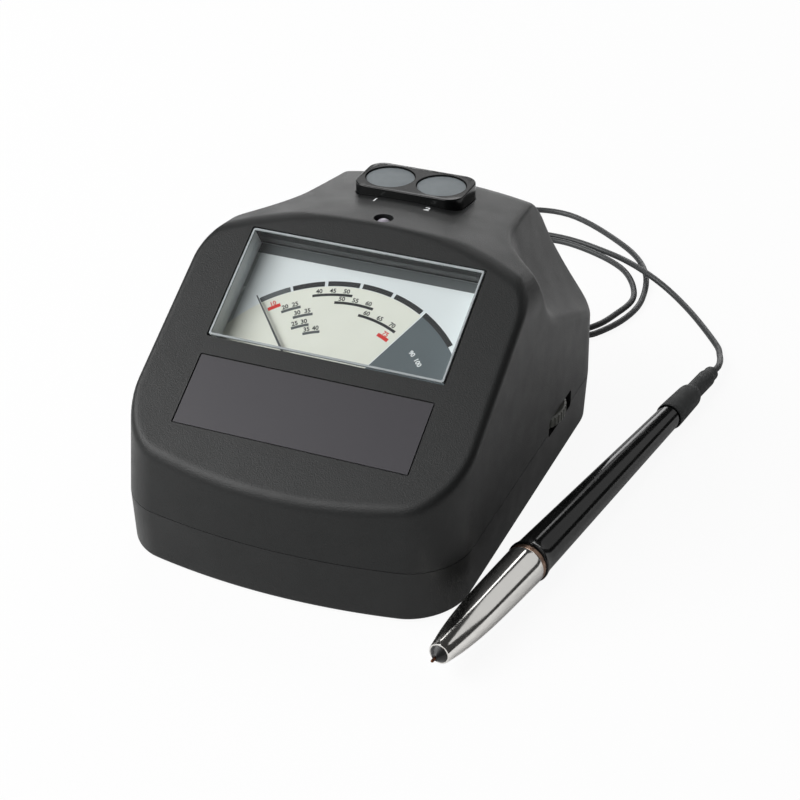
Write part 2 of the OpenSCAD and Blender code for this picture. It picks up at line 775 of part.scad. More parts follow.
// Iron core with the two lugs that carry it inside the yoke
module meter_core() {
  color("#6d7073") on_pivot() translate([0, 0, core_n]) difference() {
    union() {
      cylinder(h = core_h, r = core_r);
      translate([0, 0, core_lug_in]) linear_extrude(core_h - 2 * core_lug_in) intersection() {
        circle(yoke_in_r);
        square([core_lug_w, 4 * yoke_in_r], center = true);
      }
    }
    translate([0, 0, -1]) cylinder(h = core_h + 2, r = core_bore_r);
  }
}

// Brass strip on two pillars with the front bearing of the pivot
module meter_bridge() {
  pillar_x = (yoke_in_r + yoke_out_r) / 2;
  color("#b08d3c") on_pivot() difference() {
    union() {
      translate([0, 0, bridge_n]) linear_extrude(bridge_t)
        round_rect(2 * pillar_x + bridge_w, bridge_w, bridge_w / 2 - 0.1);
      for (side = [-1, 1]) translate([side * pillar_x, 0, yoke_n + yoke_h])
        cylinder(h = bridge_n - yoke_n - yoke_h + 0.2, r = pillar_r, $fn = 32);
    }
    translate([0, 0, bridge_n - 0.5]) cylinder(h = bridge_t + 1, r = shaft_r + run_gap, $fn = 32);
  }
}

// Frame of the moving coil round the core
module moving_coil() {
  color(copper) on_pivot() rotate([0, 0, coil_turn]) translate([0, 0, coil_n]) difference() {
    translate([-coil_out_r, -coil_w / 2, 0]) cube([2 * coil_out_r, coil_w, coil_h]);
    translate([-coil_in_r, -coil_w, coil_bar]) cube([2 * coil_in_r, 2 * coil_w, coil_h - 2 * coil_bar]);
    translate([0, 0, -1]) cylinder(h = coil_h + 2, r = shaft_r, $fn = 32);
  }
}

module needle_pivot() {
  color(steel) on_pivot() translate([0, 0, case_back - 0.7])
    cylinder(h = bridge_n + bridge_t - case_back + 0.5, r = shaft_r, $fn = 32);
}

module needle() {
  color("#26282a") on_pivot() rotate([0, 0, needle_rest]) difference() {
    union() {
      translate([0, 0, needle_n]) linear_extrude(needle_t) polygon([
        [-needle_tail, -needle_root_w], [-needle_tail, needle_root_w],
        [0, needle_root_w / 2], [needle_l, needle_tip_w / 2],
        [needle_l, -needle_tip_w / 2], [0, -needle_root_w / 2]
      ]);
      translate([0, 0, needle_n - 0.6]) cylinder(h = needle_t + 1, r = 1.8, $fn = 32);
      translate([-needle_tail + 1, 0, needle_n - 0.3]) cylinder(h = needle_t + 0.6, r = 1.4, $fn = 32);
    }
    translate([0, 0, needle_n - 2]) cylinder(h = 4, r = shaft_r, $fn = 32);
  }
}

module meter_screws() {
  color(steel) on_panel() for (p = ear_spots) translate([p[0], p[1], ear_n - ear_t])
    pan_screw(meter_screw_d, ear_t + meter_screw_grip, small_head_d, small_head_h);
}

// Disc holder, discs and lamp

module disc_holder() {
  color(gloss_black) translate([0, holder_y, seat_z]) difference() {
    hull() {
      linear_extrude(holder_h - holder_bevel) round_rect(holder_w, holder_l, holder_r, $fn = 32);
      linear_extrude(holder_h) round_rect(
        holder_w - 2 * holder_bevel, holder_l - 2 * holder_bevel, holder_r - holder_bevel, $fn = 32
      );
    }
    for (side = [-1, 1]) {
      translate([side * disc_pitch / 2, 0, holder_h - disc_sink - disc_t])
        cylinder(h = far, d = disc_d + 2 * fit_gap);
      translate([side * holder_screw_x, 0, -1])
        cylinder(h = holder_screw_grip + 1.2, d = holder_screw_d + 2 * run_gap, $fn = 24);
    }
  }
}

module test_disc(side) {
  translate([side * disc_pitch / 2, holder_y, holder_top - disc_sink - disc_t])
    cylinder(h = disc_t, d = disc_d);
}

module left_disc() {
  color("#7b8083") test_disc(-1);
}

module right_disc() {
  color("#7b8083") test_disc(1);
}

module holder_screws() {
  color(steel) for (side = [-1, 1]) translate([side * holder_screw_x, holder_y, seat_z - wall])
    pan_screw(holder_screw_d, wall + holder_screw_grip, small_head_d, small_head_h);
}

// Domed lamp with its flange and two leads
module ready_lamp() {
  r = lamp_hole_d / 2 - 0.5;
  color("#8f8b93") translate([0, lamp_y, crest_z - lamp_sink - lamp_body_h]) {
    cylinder(h = lamp_flange_h, r = lamp_hole_d / 2 - run_gap);
    cylinder(h = lamp_body_h - r, r = r);
    translate([0, 0, lamp_body_h - r]) difference() {
      sphere(r);
      translate([-far / 2, -far / 2, -far]) cube([far, far, far]);
    }
    for (side = [-1, 1]) translate([side * 1.2, 0, -5]) cylinder(h = 6, r = 0.3, $fn = 16);
  }
}

// Board and controls

module board_outline() {
  translate([-board_x, board_y0]) square([2 * board_x, board_y1 - board_y0]);
  translate([board_arm_x, board_y0]) square([half_w - wall - 3 - board_arm_x, board_arm_y - board_y0]);
}

module main_board() {
  color("#2f5d3a") translate([0, 0, board_z]) linear_extrude(board_t) difference() {
    intersection() {
      board_outline();
      plan(wall + lip_gap + lip_t + 0.6);
    }
    for (p = board_spots) translate(p) circle(board_screw_d / 2 + fit_gap, $fn = 24);
    for (p = post_spots) translate(p) circle(post_r + 0.8);
  }
}

module board_chips() {
  color("#1c1d1f") translate([0, board_y0, board_z + board_t]) {
    for (b = board_blocks) translate([b[0], b[1], 0]) cube([b[2], b[3], b[4]]);
    for (c = board_cans) translate([c[0], c[1], 0]) cylinder(h = can_h, r = c[2]);
  }
}

module board_screws() {
  color(steel) for (p = board_spots) translate([p[0], p[1], board_z + board_t]) rotate([180, 0, 0])
    pan_screw(board_screw_d, board_t + 3, small_head_d, small_head_h);
}

// Potentiometer body with the bore for the thumbwheel's shaft
module potentiometer() {
  pot_z = board_z + board_t;
  pot_h = wheel_z - wheel_t / 2 - pot_gap - pot_z;
  color("#27405c") translate([wheel_x, wheel_y, pot_z]) difference() {
    translate([-pot_w / 2, -pot_w / 2, 0]) cube([pot_w, pot_w, pot_h]);
    translate([0, 0, 0.8]) cylinder(h = far, r = wheel_shaft_r + run_gap);
  }
}

module thumbwheel() {
  shaft_z = board_z + board_t + 1.1;
  low_z = wheel_z - wheel_t / 2;
  edge = 0.6;
  color(gloss_black) translate([wheel_x, wheel_y, 0]) difference() {
    union() {
      translate([0, 0, low_z]) rotate_extrude($fn = fine_fn) polygon([
        [0, 0], [wheel_r - edge, 0], [wheel_r, edge], [wheel_r, wheel_t - edge],
        [wheel_r - edge, wheel_t], [0, wheel_t]
      ]);
      translate([0, 0, low_z - pot_gap + slide_gap]) cylinder(h = pot_gap, r = wheel_boss_r);
      translate([0, 0, shaft_z]) cylinder(h = low_z - shaft_z + 1, r = wheel_shaft_r);
    }
    for (i = [0 : wheel_notches - 1]) rotate([0, 0, i * 360 / wheel_notches])
      translate([wheel_r + notch_r - notch_depth, 0, low_z - 1])
        cylinder(h = wheel_t + 2, r = notch_r, $fn = 20);
    translate([0, 0, low_z + wheel_t - wheel_dish]) difference() {
      cylinder(h = 2 * wheel_dish, r = wheel_r - wheel_rim);
      translate([0, 0, -1]) cylinder(h = 4, r = wheel_boss_r);
    }
  }
}

// Battery pieces

module battery_door() {
  color(charcoal) difference() {
    union() {
      translate([-half_w, bay_y0 + ledge_w + slide_gap, foot_proud])
        cube([bay_x1 + half_w - slide_gap, bay_w - 2 * ledge_w - 2 * slide_gap, door_top - foot_proud]);
      translate([-half_w, bay_y0 + slide_gap, flange_z])
        cube([bay_x1 + half_w - slide_gap, bay_w - 2 * slide_gap, flange_t]);
    }
    for (i = [0 : door_grips - 1])
      translate([door_grip_w * 2 * i - half_w + 9, (bay_y0 + bay_y1 - door_grip_l) / 2, -1])
        cube([door_grip_w, door_grip_l, foot_proud + door_grip_t + 1]);
  }
}

module battery_cells() {
  button_l = 1.2;
  color("#7a7d80") for (i = [0 : cell_n - 1])
    translate([cell_x, cell_y0 + i * cell_pitch, cell_z])
      rotate([0, i % 2 == 0 ? 90 : -90, 0])
        translate([0, 0, -cell_l / 2]) {
          cylinder(h = cell_l - button_l, d = cell_d);
          cylinder(h = cell_l, d = cell_button_d, $fn = 32);
        }
}

// Bent leaf contacts at both ends of each cell
module battery_contacts() {
  back_t = 0.5;
  leaf_l = contact_l + slide_gap - 0.1;
  color(steel) for (i = [0 : cell_n - 1], side = [-1, 1])
    translate([cell_x, cell_y0 + i * cell_pitch, cell_z])
      scale([side, 1, 1])
        translate([(bay_x1 - bay_x0) / 2, contact_w / 2, 0])
          rotate([90, 0, 0]) linear_extrude(contact_w) polygon([
            [0, -contact_half], [0, contact_half], [-back_t, contact_half], [-back_t, contact_bend],
            [-leaf_l, contact_tip], [-leaf_l, -contact_tip],
            [-back_t, -contact_bend], [-back_t, -contact_half]
          ]);
}

// Rubber gland in the rear wall with its tapered boot
module cord_gland() {
  color("#1f1f20") translate([gland_x, rear_y, gland_z]) rotate([-90, 0, 0]) rotate_extrude() polygon([
    [0, -wall - gland_flange_t], [gland_flange_r, -wall - gland_flange_t], [gland_flange_r, -wall],
    [gland_hole_r - fit_gap, -wall], [gland_hole_r - fit_gap, 0], [gland_flange_r, 0],
    [gland_flange_r - 0.5, gland_flange_t], [gland_hole_r - 0.3, gland_flange_t + 0.8],
    [gland_end_r, gland_reach], [0, gland_reach]
  ]);
}

// Probe pen pieces

// Radius of the swelling nose at a share of its length
function nose_at(t) =
  nose_r - (nose_r - nose_tip_r) * (nose_swell * pow(1 - t, 4) + (1 - nose_swell) * (1 - t));

module probe_nose() {
  edge = 0.3;
  color("#c9ccce") on_pen() difference() {
    rotate_extrude() polygon([
      [0, 0], [nose_tip_r - edge, 0],
      for (i = [0 : nose_bands]) [nose_at(i / nose_bands), edge + (nose_l - 2 * edge) * i / nose_bands],
      [nose_r - edge, nose_l], [0, nose_l]
    ]);
    translate([0, 0, -1]) cylinder(h = nose_l + 2, r = nose_bore_r + run_gap);
    translate([0, 0, guide_l]) cylinder(h = nose_l, r = sleeve_r + slide_gap);
    translate([0, 0, spigot_u]) cylinder(h = nose_l, r = spigot_r + fit_gap);
  }
}

module tip_guide() {
  color("#2a2a2c") on_pen() difference() {
    union() {
      translate([0, 0, -guide_out]) cylinder(h = guide_out, r1 = guide_end_r, r2 = nose_tip_r - 0.5);
      cylinder(h = guide_l, r = nose_bore_r);
    }
    translate([0, 0, -guide_out - 1]) cylinder(h = guide_l + guide_out + 2, r = tip_r + run_gap, $fn = 32);
  }
}

module probe_tip() {
  color(copper) on_pen() {
    translate([0, 0, -guide_out - tip_out + tip_r])
      cylinder(h = carrier_u + guide_out + tip_out - tip_r, r = tip_r, $fn = 32);
    translate([0, 0, -guide_out - tip_out + tip_r]) sphere(tip_r, $fn = 32);
    translate([0, 0, tip_collar_u]) cylinder(h = tip_collar_l, r = tip_collar_r, $fn = 32);
  }
}

module thermal_carrier() {
  color("#e6e2d8") on_pen() translate([0, 0, carrier_u]) cylinder(h = carrier_l, r = carrier_r, $fn = 32);
}

module tip_spring() {
  count = spring_turns * 8;
  path = [
    for (i = [0 : count])
      [spring_r * cos(i * 45), spring_r * sin(i * 45),
       spring_u + spring_wire_r + (spring_l - 2 * spring_wire_r) * i / count]
  ];
  color(steel) on_pen() swept_tube(path, spring_wire_r, 6);
}

// Plug that joins nose and barrel and backs the spring
module probe_spigot() {
  color("#2a2a2c") on_pen() translate([0, 0, spigot_u]) cylinder(h = spigot_back - spigot_u, r = spigot_r);
}

module probe_ring() {
  color(copper) on_pen() translate([0, 0, nose_l]) difference() {
    cylinder(h = ring_l, r = nose_r - 0.15);
    translate([0, 0, -1]) cylinder(h = ring_l + 2, r = spigot_r + fit_gap);
  }
}

module probe_barrel() {
  color(gloss_black) on_pen() difference() {
    rotate_extrude() polygon([
      [0, barrel_u], [lip_r - 0.2, barrel_u], [lip_r, lip_u], [lip_r - 0.05, lip_u + 0.16 * flare_l],
      [barrel_r + 0.4 * (lip_r - barrel_r), barrel_u + 0.45 * flare_l], [barrel_r, barrel_u + flare_l],
      [barrel_tail_r, collar_u], [barrel_tail_r - 0.5, collar_u + tenon_l], [0, collar_u + tenon_l]
    ]);
    translate([0, 0, barrel_u - 1]) cylinder(h = spigot_back - barrel_u + 1, r = spigot_r + fit_gap);
    translate([0, 0, barrel_u]) cylinder(h = pen_l, r = barrel_bore_r);
  }
}

module probe_collar() {
  color("#2b2c2c") on_pen() difference() {
    rotate_extrude() polygon([
      [0, collar_u + 0.4], [collar_r - 0.2, collar_u + 0.4], [collar_r, collar_u + 0.6],
      [collar_r, collar_u + 2], [collar_r - 0.45, relief_u - 3], [collar_r - 0.65, relief_u - 1.6],
      [relief_r + 0.3, relief_u], [0, relief_u]
    ]);
    translate([0, 0, collar_u])
      cylinder(h = tenon_l + fit_gap, r1 = barrel_tail_r + 0.1, r2 = barrel_tail_r - 0.4);
  }
}

module probe_relief() {
  color("#2b2c2c") on_pen() rotate_extrude() polygon([
    [0, relief_u], [relief_r, relief_u], [relief_r, pen_l - 4.9],
    [relief_r - 0.5, pen_l - 3.6], [relief_r - 0.5, pen_l - 0.8], [relief_r - 1, pen_l], [0, pen_l]
  ]);
}

// Cord

// Smooth curve through a list of points, with straight ends
function point_before(p, i) = i > 0 ? p[i - 1] : 2 * p[0] - p[1];
function point_after(p, i) = i + 2 < len(p) ? p[i + 2] : 2 * p[i + 1] - p[i];
function curve_point(a, b, c, d, t) =
  let (bend = 2 * a - 5 * b + 4 * c - d, twist = 3 * b - a - 3 * c + d)
  b + 0.5 * ((c - a) * t + bend * pow(t, 2) + twist * pow(t, 3));
function on_table(p) = [p[0], p[1], max(p[2], cord_low)];
function smooth_path(p, steps) = [
  for (i = [0 : len(p) - 2], k = [0 : steps - 1])
    on_table(curve_point(point_before(p, i), p[i], p[i + 1], point_after(p, i), k / steps)),
  p[len(p) - 1]
];

// Tube of one radius along a path, closed at both ends
function path_dir(p, i) =
  let (a = p[max(i - 1, 0)], b = p[min(i + 1, len(p) - 1)]) (b - a) / norm(b - a);
function tube_ring(p, i, r, sides) =
  let (t = path_dir(p, i), flat = cross(t, [0, 0, 1]), s = flat / norm(flat), u = cross(s, t))
  [for (k = [0 : sides - 1]) p[i] + r * (s * cos(k * 360 / sides) + u * sin(k * 360 / sides))];

module swept_tube(path, r, sides) {
  last = (len(path) - 1) * sides;
  points = [for (i = [0 : len(path) - 1]) each tube_ring(path, i, r, sides)];
  skin = [
    for (i = [0 : len(path) - 2], k = [0 : sides - 1])
      let (a = i * sides + k, b = i * sides + (k + 1) % sides)
      each [[a, a + sides, b], [b, a + sides, b + sides]]
  ];
  ends = [
    for (k = [1 : sides - 2]) each [[0, k, k + 1], [last, last + k + 1, last + k]]
  ];
  polyhedron(points, concat(skin, ends));
}

// Least clear gap between stretches of a tube that lie far apart along it
function self_gap(p, d, apart) =
  min([for (i = [0 : len(p) - 1 - apart], j = [i + apart : len(p) - 1]) norm(p[i] - p[j])]) - d;

module probe_cord() {
  echo(cord_gap = self_gap(smooth_path(cord_route, 4 * cord_steps), cord_d, 16 * cord_steps));
  color("#303132") swept_tube(smooth_path(cord_route, cord_steps), cord_d / 2, cord_sides);
}

upper_shell();
lower_base();
nameplate();
meter_window();
meter_case();
dial_plate();
meter_yoke();
meter_core();
meter_bridge();
moving_coil();
needle_pivot();
needle();
disc_holder();
left_disc();
right_disc();
holder_screws();
ready_lamp();
main_board();
board_chips();
potentiometer();
thumbwheel();
battery_door();
battery_cells();
battery_contacts();
case_screws();
board_screws();
meter_screws();
rubber_feet();
cord_gland();
probe_cord();
probe_nose();
tip_guide();
probe_tip();
thermal_carrier();
tip_spring();
probe_spigot();
probe_ring();
probe_barrel();
probe_collar();
probe_relief();
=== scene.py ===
# Looks of the gemstone tester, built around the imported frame. Lengths are in millimetres until a mesh is made.
import math

import bmesh
import bpy
import numpy as np
from mathutils import Matrix, Vector


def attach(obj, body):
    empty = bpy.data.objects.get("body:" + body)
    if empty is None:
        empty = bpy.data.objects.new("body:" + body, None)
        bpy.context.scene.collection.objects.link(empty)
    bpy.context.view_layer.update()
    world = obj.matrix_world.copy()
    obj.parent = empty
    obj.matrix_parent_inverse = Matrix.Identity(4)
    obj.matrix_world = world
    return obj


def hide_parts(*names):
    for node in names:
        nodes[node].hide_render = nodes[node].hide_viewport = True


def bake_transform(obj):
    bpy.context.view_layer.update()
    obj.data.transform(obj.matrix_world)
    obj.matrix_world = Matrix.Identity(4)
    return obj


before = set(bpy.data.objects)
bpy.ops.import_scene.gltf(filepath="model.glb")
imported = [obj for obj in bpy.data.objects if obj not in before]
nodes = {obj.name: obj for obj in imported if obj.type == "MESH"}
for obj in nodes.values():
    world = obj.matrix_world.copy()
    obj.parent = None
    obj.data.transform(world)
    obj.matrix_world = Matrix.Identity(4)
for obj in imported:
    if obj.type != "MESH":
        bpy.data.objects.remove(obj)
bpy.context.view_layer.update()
scene = bpy.context.scene
mm = 0.001
mergeReach = 1e-6  # metres, below which doubles are merged
print("frame loaded with", len(nodes), "nodes")


def addObject(name, data):
    item = bpy.data.objects.new(name, data)
    scene.collection.objects.link(item)
    return item


# camera at the photograph's place, looking down on the right front corner
cameraView = {
    "azimuth": 22.72, "elevation": 30.99, "place": (0.2048, -0.4645, 0.3303), "lens": 85.69, "sensor": 36,
    "clip": (0.01, 20)}


def placeCamera(view):
    a, e = math.radians(view["azimuth"]), math.radians(view["elevation"])
    back = Vector((math.sin(a) * math.cos(e), -math.cos(a) * math.cos(e), math.sin(e)))
    right = Vector((math.cos(a), math.sin(a), 0))
    up = back.cross(right)
    data = bpy.data.cameras.new("studioCamera")
    data.lens = view["lens"]
    data.sensor_width = view["sensor"]
    data.clip_start, data.clip_end = view["clip"]
    camera = addObject("studioCamera", data)
    turn = Matrix((right, up, back)).transposed().to_4x4()
    camera.matrix_world = Matrix.Translation(view["place"]) @ turn
    scene.camera = camera


placeCamera(cameraView)
scene.view_settings.view_transform = "Standard"
print("camera placed")


# small helpers for meshes
def meshOf(name, vertices, faces):
    mesh = bpy.data.meshes.new(name)
    mesh.from_pydata([tuple(c * mm for c in v) for v in vertices], [], [tuple(f) for f in faces])
    mesh.update()
    return mesh


def meshFromBm(name, bm):
    mesh = bpy.data.meshes.new(name)
    bm.to_mesh(mesh)
    bm.free()
    return mesh


def facesOut(mesh):
    bm = bmesh.new()
    bm.from_mesh(mesh)
    bmesh.ops.recalc_face_normals(bm, faces=bm.faces[:])
    bm.to_mesh(mesh)
    bm.free()
    return mesh


def finishPiece(name, mesh, body, material, smooth=None):
    piece = addObject(name, mesh)
    mesh.materials.clear()
    mesh.materials.append(material)
    if smooth:
        mesh.shade_smooth()
        mesh.set_sharp_from_angle(angle=math.radians(smooth))
    if body:
        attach(piece, body)
    return piece


def evaluatedMesh(item):
    return bpy.data.meshes.new_from_object(item.evaluated_get(bpy.context.evaluated_depsgraph_get()))


def combineMeshes(mesh, toolMesh, operation):
    body, tool = addObject("blank", mesh), addObject("tool", toolMesh)
    cut = body.modifiers.new("cut", "BOOLEAN")
    cut.object = tool
    cut.operation = operation
    cut.solver = "EXACT"
    result = evaluatedMesh(body)
    for item in (body, tool):
        data = item.data
        bpy.data.objects.remove(item)
        bpy.data.meshes.remove(data)
    return result


# rings of equal point counts, joined side by side and closed at both ends
def loftMesh(name, rings):
    n = len(rings[0])
    faces = [(i * n + k, i * n + (k + 1) % n, (i + 1) * n + (k + 1) % n, (i + 1) * n + k)
             for i in range(len(rings) - 1) for k in range(n)]
    faces.append(range(n - 1, -1, -1))
    faces.append(range((len(rings) - 1) * n, len(rings) * n))
    return facesOut(meshOf(name, [p for ring in rings for p in ring], faces))


# a turned form: (radius, along) pairs, either a closed loop or a line from pole to pole
def latheMesh(name, profile, place, sides):
    rings, vertices, faces = [], [], []
    for r, u in profile:
        count = sides if r > 0 else 1
        rings.append(range(len(vertices), len(vertices) + count))
        for k in range(count):
            a = 2 * math.pi * k / sides
            vertices.append(place @ Vector((r * math.cos(a), r * math.sin(a), u)))
    loop = profile[0][0] > 0
    for a, b in zip(rings, rings[1:] + (rings[:1] if loop else [])):
        for k in range(sides):
            n = (k + 1) % sides
            if len(a) == 1:
                faces.append((a[0], b[n], b[k]))
            elif len(b) == 1:
                faces.append((a[k], a[n], b[0]))
            else:
                faces.append((a[k], a[n], b[n], b[k]))
    return facesOut(meshOf(name, vertices, faces))


def roundedOutline(width, height, radius, steps):
    points = []
    for corner, (sx, sy) in enumerate(((1, 1), (-1, 1), (-1, -1), (1, -1))):
        for i in range(steps + 1):
            a = math.radians(90 * corner + 90 * i / steps)
            points.append((sx * (width / 2 - radius) + radius * math.cos(a),
                           sy * (height / 2 - radius) + radius * math.sin(a)))
    return points


def quarterTurns(steps):
    return [math.pi / 2 * i / steps for i in range(steps + 1)]


def circleOutline(radius, sides):
    turn = [2 * math.pi * i / sides for i in range(sides)]
    return [(radius * math.cos(a), radius * math.sin(a)) for a in turn]


def addPrism(bm, outline, low, high, place):
    bottom = [bm.verts.new((place @ Vector((x, y, low))) * mm) for x, y in outline]
    top = [bm.verts.new((place @ Vector((x, y, high))) * mm) for x, y in outline]
    n = len(outline)
    for i in range(n):
        bm.faces.new((bottom[i], bottom[(i + 1) % n], top[(i + 1) % n], top[i]))
    bm.faces.new(bottom[::-1])
    bm.faces.new(top)


# a smooth curve through all the points, with the same number of steps between each two
def smoothRoute(points, steps):
    p = np.array(points, float)
    path = []
    for i in range(len(p) - 1):
        b, c = p[i], p[i + 1]
        a = p[i - 1] if i > 0 else 2 * b - c
        d = p[i + 2] if i + 2 < len(p) else 2 * c - b
        for t in np.arange(steps) / steps:
            path.append(0.5 * (2 * b + (c - a) * t + (2 * a - 5 * b + 4 * c - d) * t ** 2
                               + (3 * b - a - 3 * c + d) * t ** 3))
    path.append(p[-1])
    return np.array(path)


# colours are written as sRGB hex and turned to linear here
def tint(hexColour):
    parts = [int(hexColour[i:i + 2], 16) / 255 for i in (1, 3, 5)]
    return tuple(c / 12.92 if c <= 0.04045 else ((c + 0.055) / 1.055) ** 2.4 for c in parts) + (1.0,)


white = tint("#ffffff")


def addNode(tree, kind, inputs=None, **settings):
    node = tree.nodes.new(kind)
    for key, value in settings.items():
        setattr(node, key, value)
    for key, value in (inputs or {}).items():
        if isinstance(value, bpy.types.NodeSocket):
            tree.links.new(value, node.inputs[key])
        else:
            node.inputs[key].default_value = value
    return node


def startMaterial(name):
    material = bpy.data.materials.new(name)
    material.use_nodes = True
    material.node_tree.nodes.clear()
    return material, material.node_tree


def closeMaterial(material, tree, shader):
    addNode(tree, "ShaderNodeOutputMaterial", {"Surface": shader.outputs[0]})
    return material


# a size in millimetres as the scale of a texture on Object coordinates, which are in metres
def patternScale(size):
    return 1000 / size


# surfaces with a fine grain: mottled colour, uneven roughness and a bump of the grain's real size
# mottle and grain are sizes in millimetres, rough is a span
def grainedMaterial(name, colour, shade, mottle, grain, relief, rough, metallic=0, specular=0.5, ior=1.5):
    material, tree = startMaterial(name)
    coords = addNode(tree, "ShaderNodeTexCoord").outputs["Object"]
    clouds, specks = [addNode(tree, "ShaderNodeTexNoise", {
        "Vector": coords, "Scale": patternScale(size), "Detail": detail}).outputs["Fac"]
        for size, detail in ((mottle, 3), (grain, 2))]
    mixed = addNode(tree, "ShaderNodeMix", {"Factor": clouds, 6: tint(colour), 7: tint(shade)}, data_type="RGBA")
    sheen = addNode(tree, "ShaderNodeMapRange", {
        "Value": clouds, "From Min": 0.3, "From Max": 0.7,  # the noise seldom leaves this span
        "To Min": rough[0], "To Max": rough[1]})
    bump = addNode(tree, "ShaderNodeBump", {"Height": specks, "Strength": relief, "Distance": grain * mm})
    shader = addNode(tree, "ShaderNodeBsdfPrincipled", {
        "Base Color": mixed.outputs[2], "Roughness": sheen.outputs[0], "Normal": bump.outputs[0],
        "Metallic": metallic, "Specular IOR Level": specular, "IOR": ior})
    return closeMaterial(material, tree, shader)


# moulded ABS with a spark-eroded grain: a dull sheen that breaks up into fine specks
charcoalAbs = grainedMaterial(
    "charcoalAbs", "#1f2020", "#1a1b1b", mottle=9, grain=0.38, relief=0.23, rough=(0.4, 0.46), specular=0.3, ior=1.53)
# the plate is printed polyester film: smooth, a touch warmer, with a soft satin sheen
plateFilm = grainedMaterial(
    "plateFilm", "#363439", "#323035", mottle=30, grain=0.3, relief=0.05, rough=(0.36, 0.42), specular=0.42)
# polished ABS: deep black with faint hairlines in the gloss
glossBlack = grainedMaterial(
    "glossBlack", "#101111", "#0c0d0d", mottle=6, grain=0.9, relief=0.02, rough=(0.09, 0.16), specular=0.36)
# the wheel's black plastic, painted a pale satin grey: a painted sheen for the light that its rim catches
wheelPaintedSheen = grainedMaterial(
    "wheelPaintedSheen", "#7c7d77", "#6c6d68", mottle=3, grain=0.3, relief=0.1, rough=(0.3, 0.4), specular=0.6)
# plain moulded black plastic of the meter case and tip guide
plainBlack = grainedMaterial(
    "plainBlack", "#1d1e1f", "#191a1b", mottle=5, grain=0.5, relief=0.15, rough=(0.35, 0.5))
# soft rubber: matt, slightly bloomed with grey
blackRubber = grainedMaterial(
    "blackRubber", "#323434", "#2b2d2d", mottle=4, grain=0.35, relief=0.2, rough=(0.6, 0.72), specular=0.4)
# cord sheath of soft extruded vinyl: dark grey with a dull gloss along its length
cordSheath = grainedMaterial(
    "cordSheath", "#363839", "#303233", mottle=12, grain=0.6, relief=0.08, rough=(0.42, 0.5))
# bright chromium plate over turned brass
noseChrome = grainedMaterial(
    "noseChrome", "#f1efeb", "#e8e6e2", mottle=8, grain=1.2, relief=0.01, rough=(0.1, 0.15), metallic=1)
# bare copper, bright but lightly oxidised
brightCopper = grainedMaterial(
    "brightCopper", "#b5673f", "#8f4d2c", mottle=1.5, grain=0.3, relief=0.08, rough=(0.22, 0.4), metallic=1)
# copper of the pin, darkened by heat and handling
heatedCopper = grainedMaterial(
    "heatedCopper", "#80563f", "#5a3a2c", mottle=0.8, grain=0.2, relief=0.1, rough=(0.35, 0.5), metallic=1)
# bronze of the ring, dull and brownish from handling
ringBronze = grainedMaterial(
    "ringBronze", "#a88d7c", "#8b7263", mottle=1.2, grain=0.2, relief=0.08, rough=(0.3, 0.42), metallic=1)
# brushed brass of the bearing bridge, warm and satin
satinBrass = grainedMaterial(
    "satinBrass", "#b5924c", "#a07f3e", mottle=3, grain=0.4, relief=0.08, rough=(0.25, 0.35), metallic=1)
# zinc plate on screws, contacts and springs: a cool, uneven sheen
zincSteel = grainedMaterial(
    "zincSteel", "#b4b8bb", "#a3a7aa", mottle=2, grain=0.3, relief=0.08, rough=(0.25, 0.38), metallic=1)
# machined soft iron, dull and slightly blued
softIron = grainedMaterial(
    "softIron", "#6d7073", "#5c5f62", mottle=3, grain=0.4, relief=0.15, rough=(0.4, 0.55), metallic=1)
# thin matt paint on the needle, a little worn
needlePaint = grainedMaterial(
    "needlePaint", "#3a3d40", "#33363a", mottle=2, grain=0.3, relief=0.05, rough=(0.45, 0.55))
# green solder mask over glass cloth
solderMask = grainedMaterial(
    "solderMask", "#2f5d3a", "#264d30", mottle=7, grain=0.6, relief=0.1, rough=(0.3, 0.42))
# moulded blue plastic of the potentiometer's housing
bluePlastic = grainedMaterial(
    "bluePlastic", "#27405c", "#22374f", mottle=4, grain=0.4, relief=0.1, rough=(0.4, 0.5))
# plain shrink jacket over the cells, half metallic
cellJacket = grainedMaterial(
    "cellJacket", "#7a7d80", "#6c6f72", mottle=10, grain=0.5, relief=0.04, rough=(0.28, 0.36), metallic=0.4)
# unglazed ceramic: chalky and warm
bisque = grainedMaterial(
    "bisque", "#e6e2d8", "#d9d4c8", mottle=1, grain=0.2, relief=0.2, rough=(0.6, 0.7))
# lens of an unlit lamp: milky grey resin
lampResin = grainedMaterial(
    "lampResin", "#a7a2ac", "#99939f", mottle=2, grain=0.4, relief=0.02, rough=(0.12, 0.2))
# satin turned discs, a dull blue-grey
discMetal = grainedMaterial(
    "discMetal", "#7b8184", "#73797c", mottle=3, grain=0.25, relief=0.12, rough=(0.55, 0.62), specular=0.2)
# dial enamel: a very pale cool grey
dialEnamel = grainedMaterial(
    "dialEnamel", "#e4e8e9", "#dde2e3", mottle=25, grain=0.4, relief=0.03, rough=(0.5, 0.6))


# silk-screen ink: matt, with a slightly uneven film
def inkMaterial(name, colour, shade):
    return grainedMaterial(
        name, colour, shade, mottle=6, grain=0.25, relief=0.04, rough=(0.5, 0.62), specular=0.35)


inks = {
    "cream": inkMaterial("creamInk", "#e9e9de", "#e2e2d6"), "slate": inkMaterial("slateInk", "#5b6468", "#545d61"),
    "black": inkMaterial("blackInk", "#1c1e20", "#17191a"), "grey": inkMaterial("greyInkAndPaintedShade", "#565a5c", "#4e5253"),
    "red": inkMaterial("redInk", "#d8241c", "#cc2018"), "white": inkMaterial("whiteInk", "#f2f4f4", "#eceeee")}


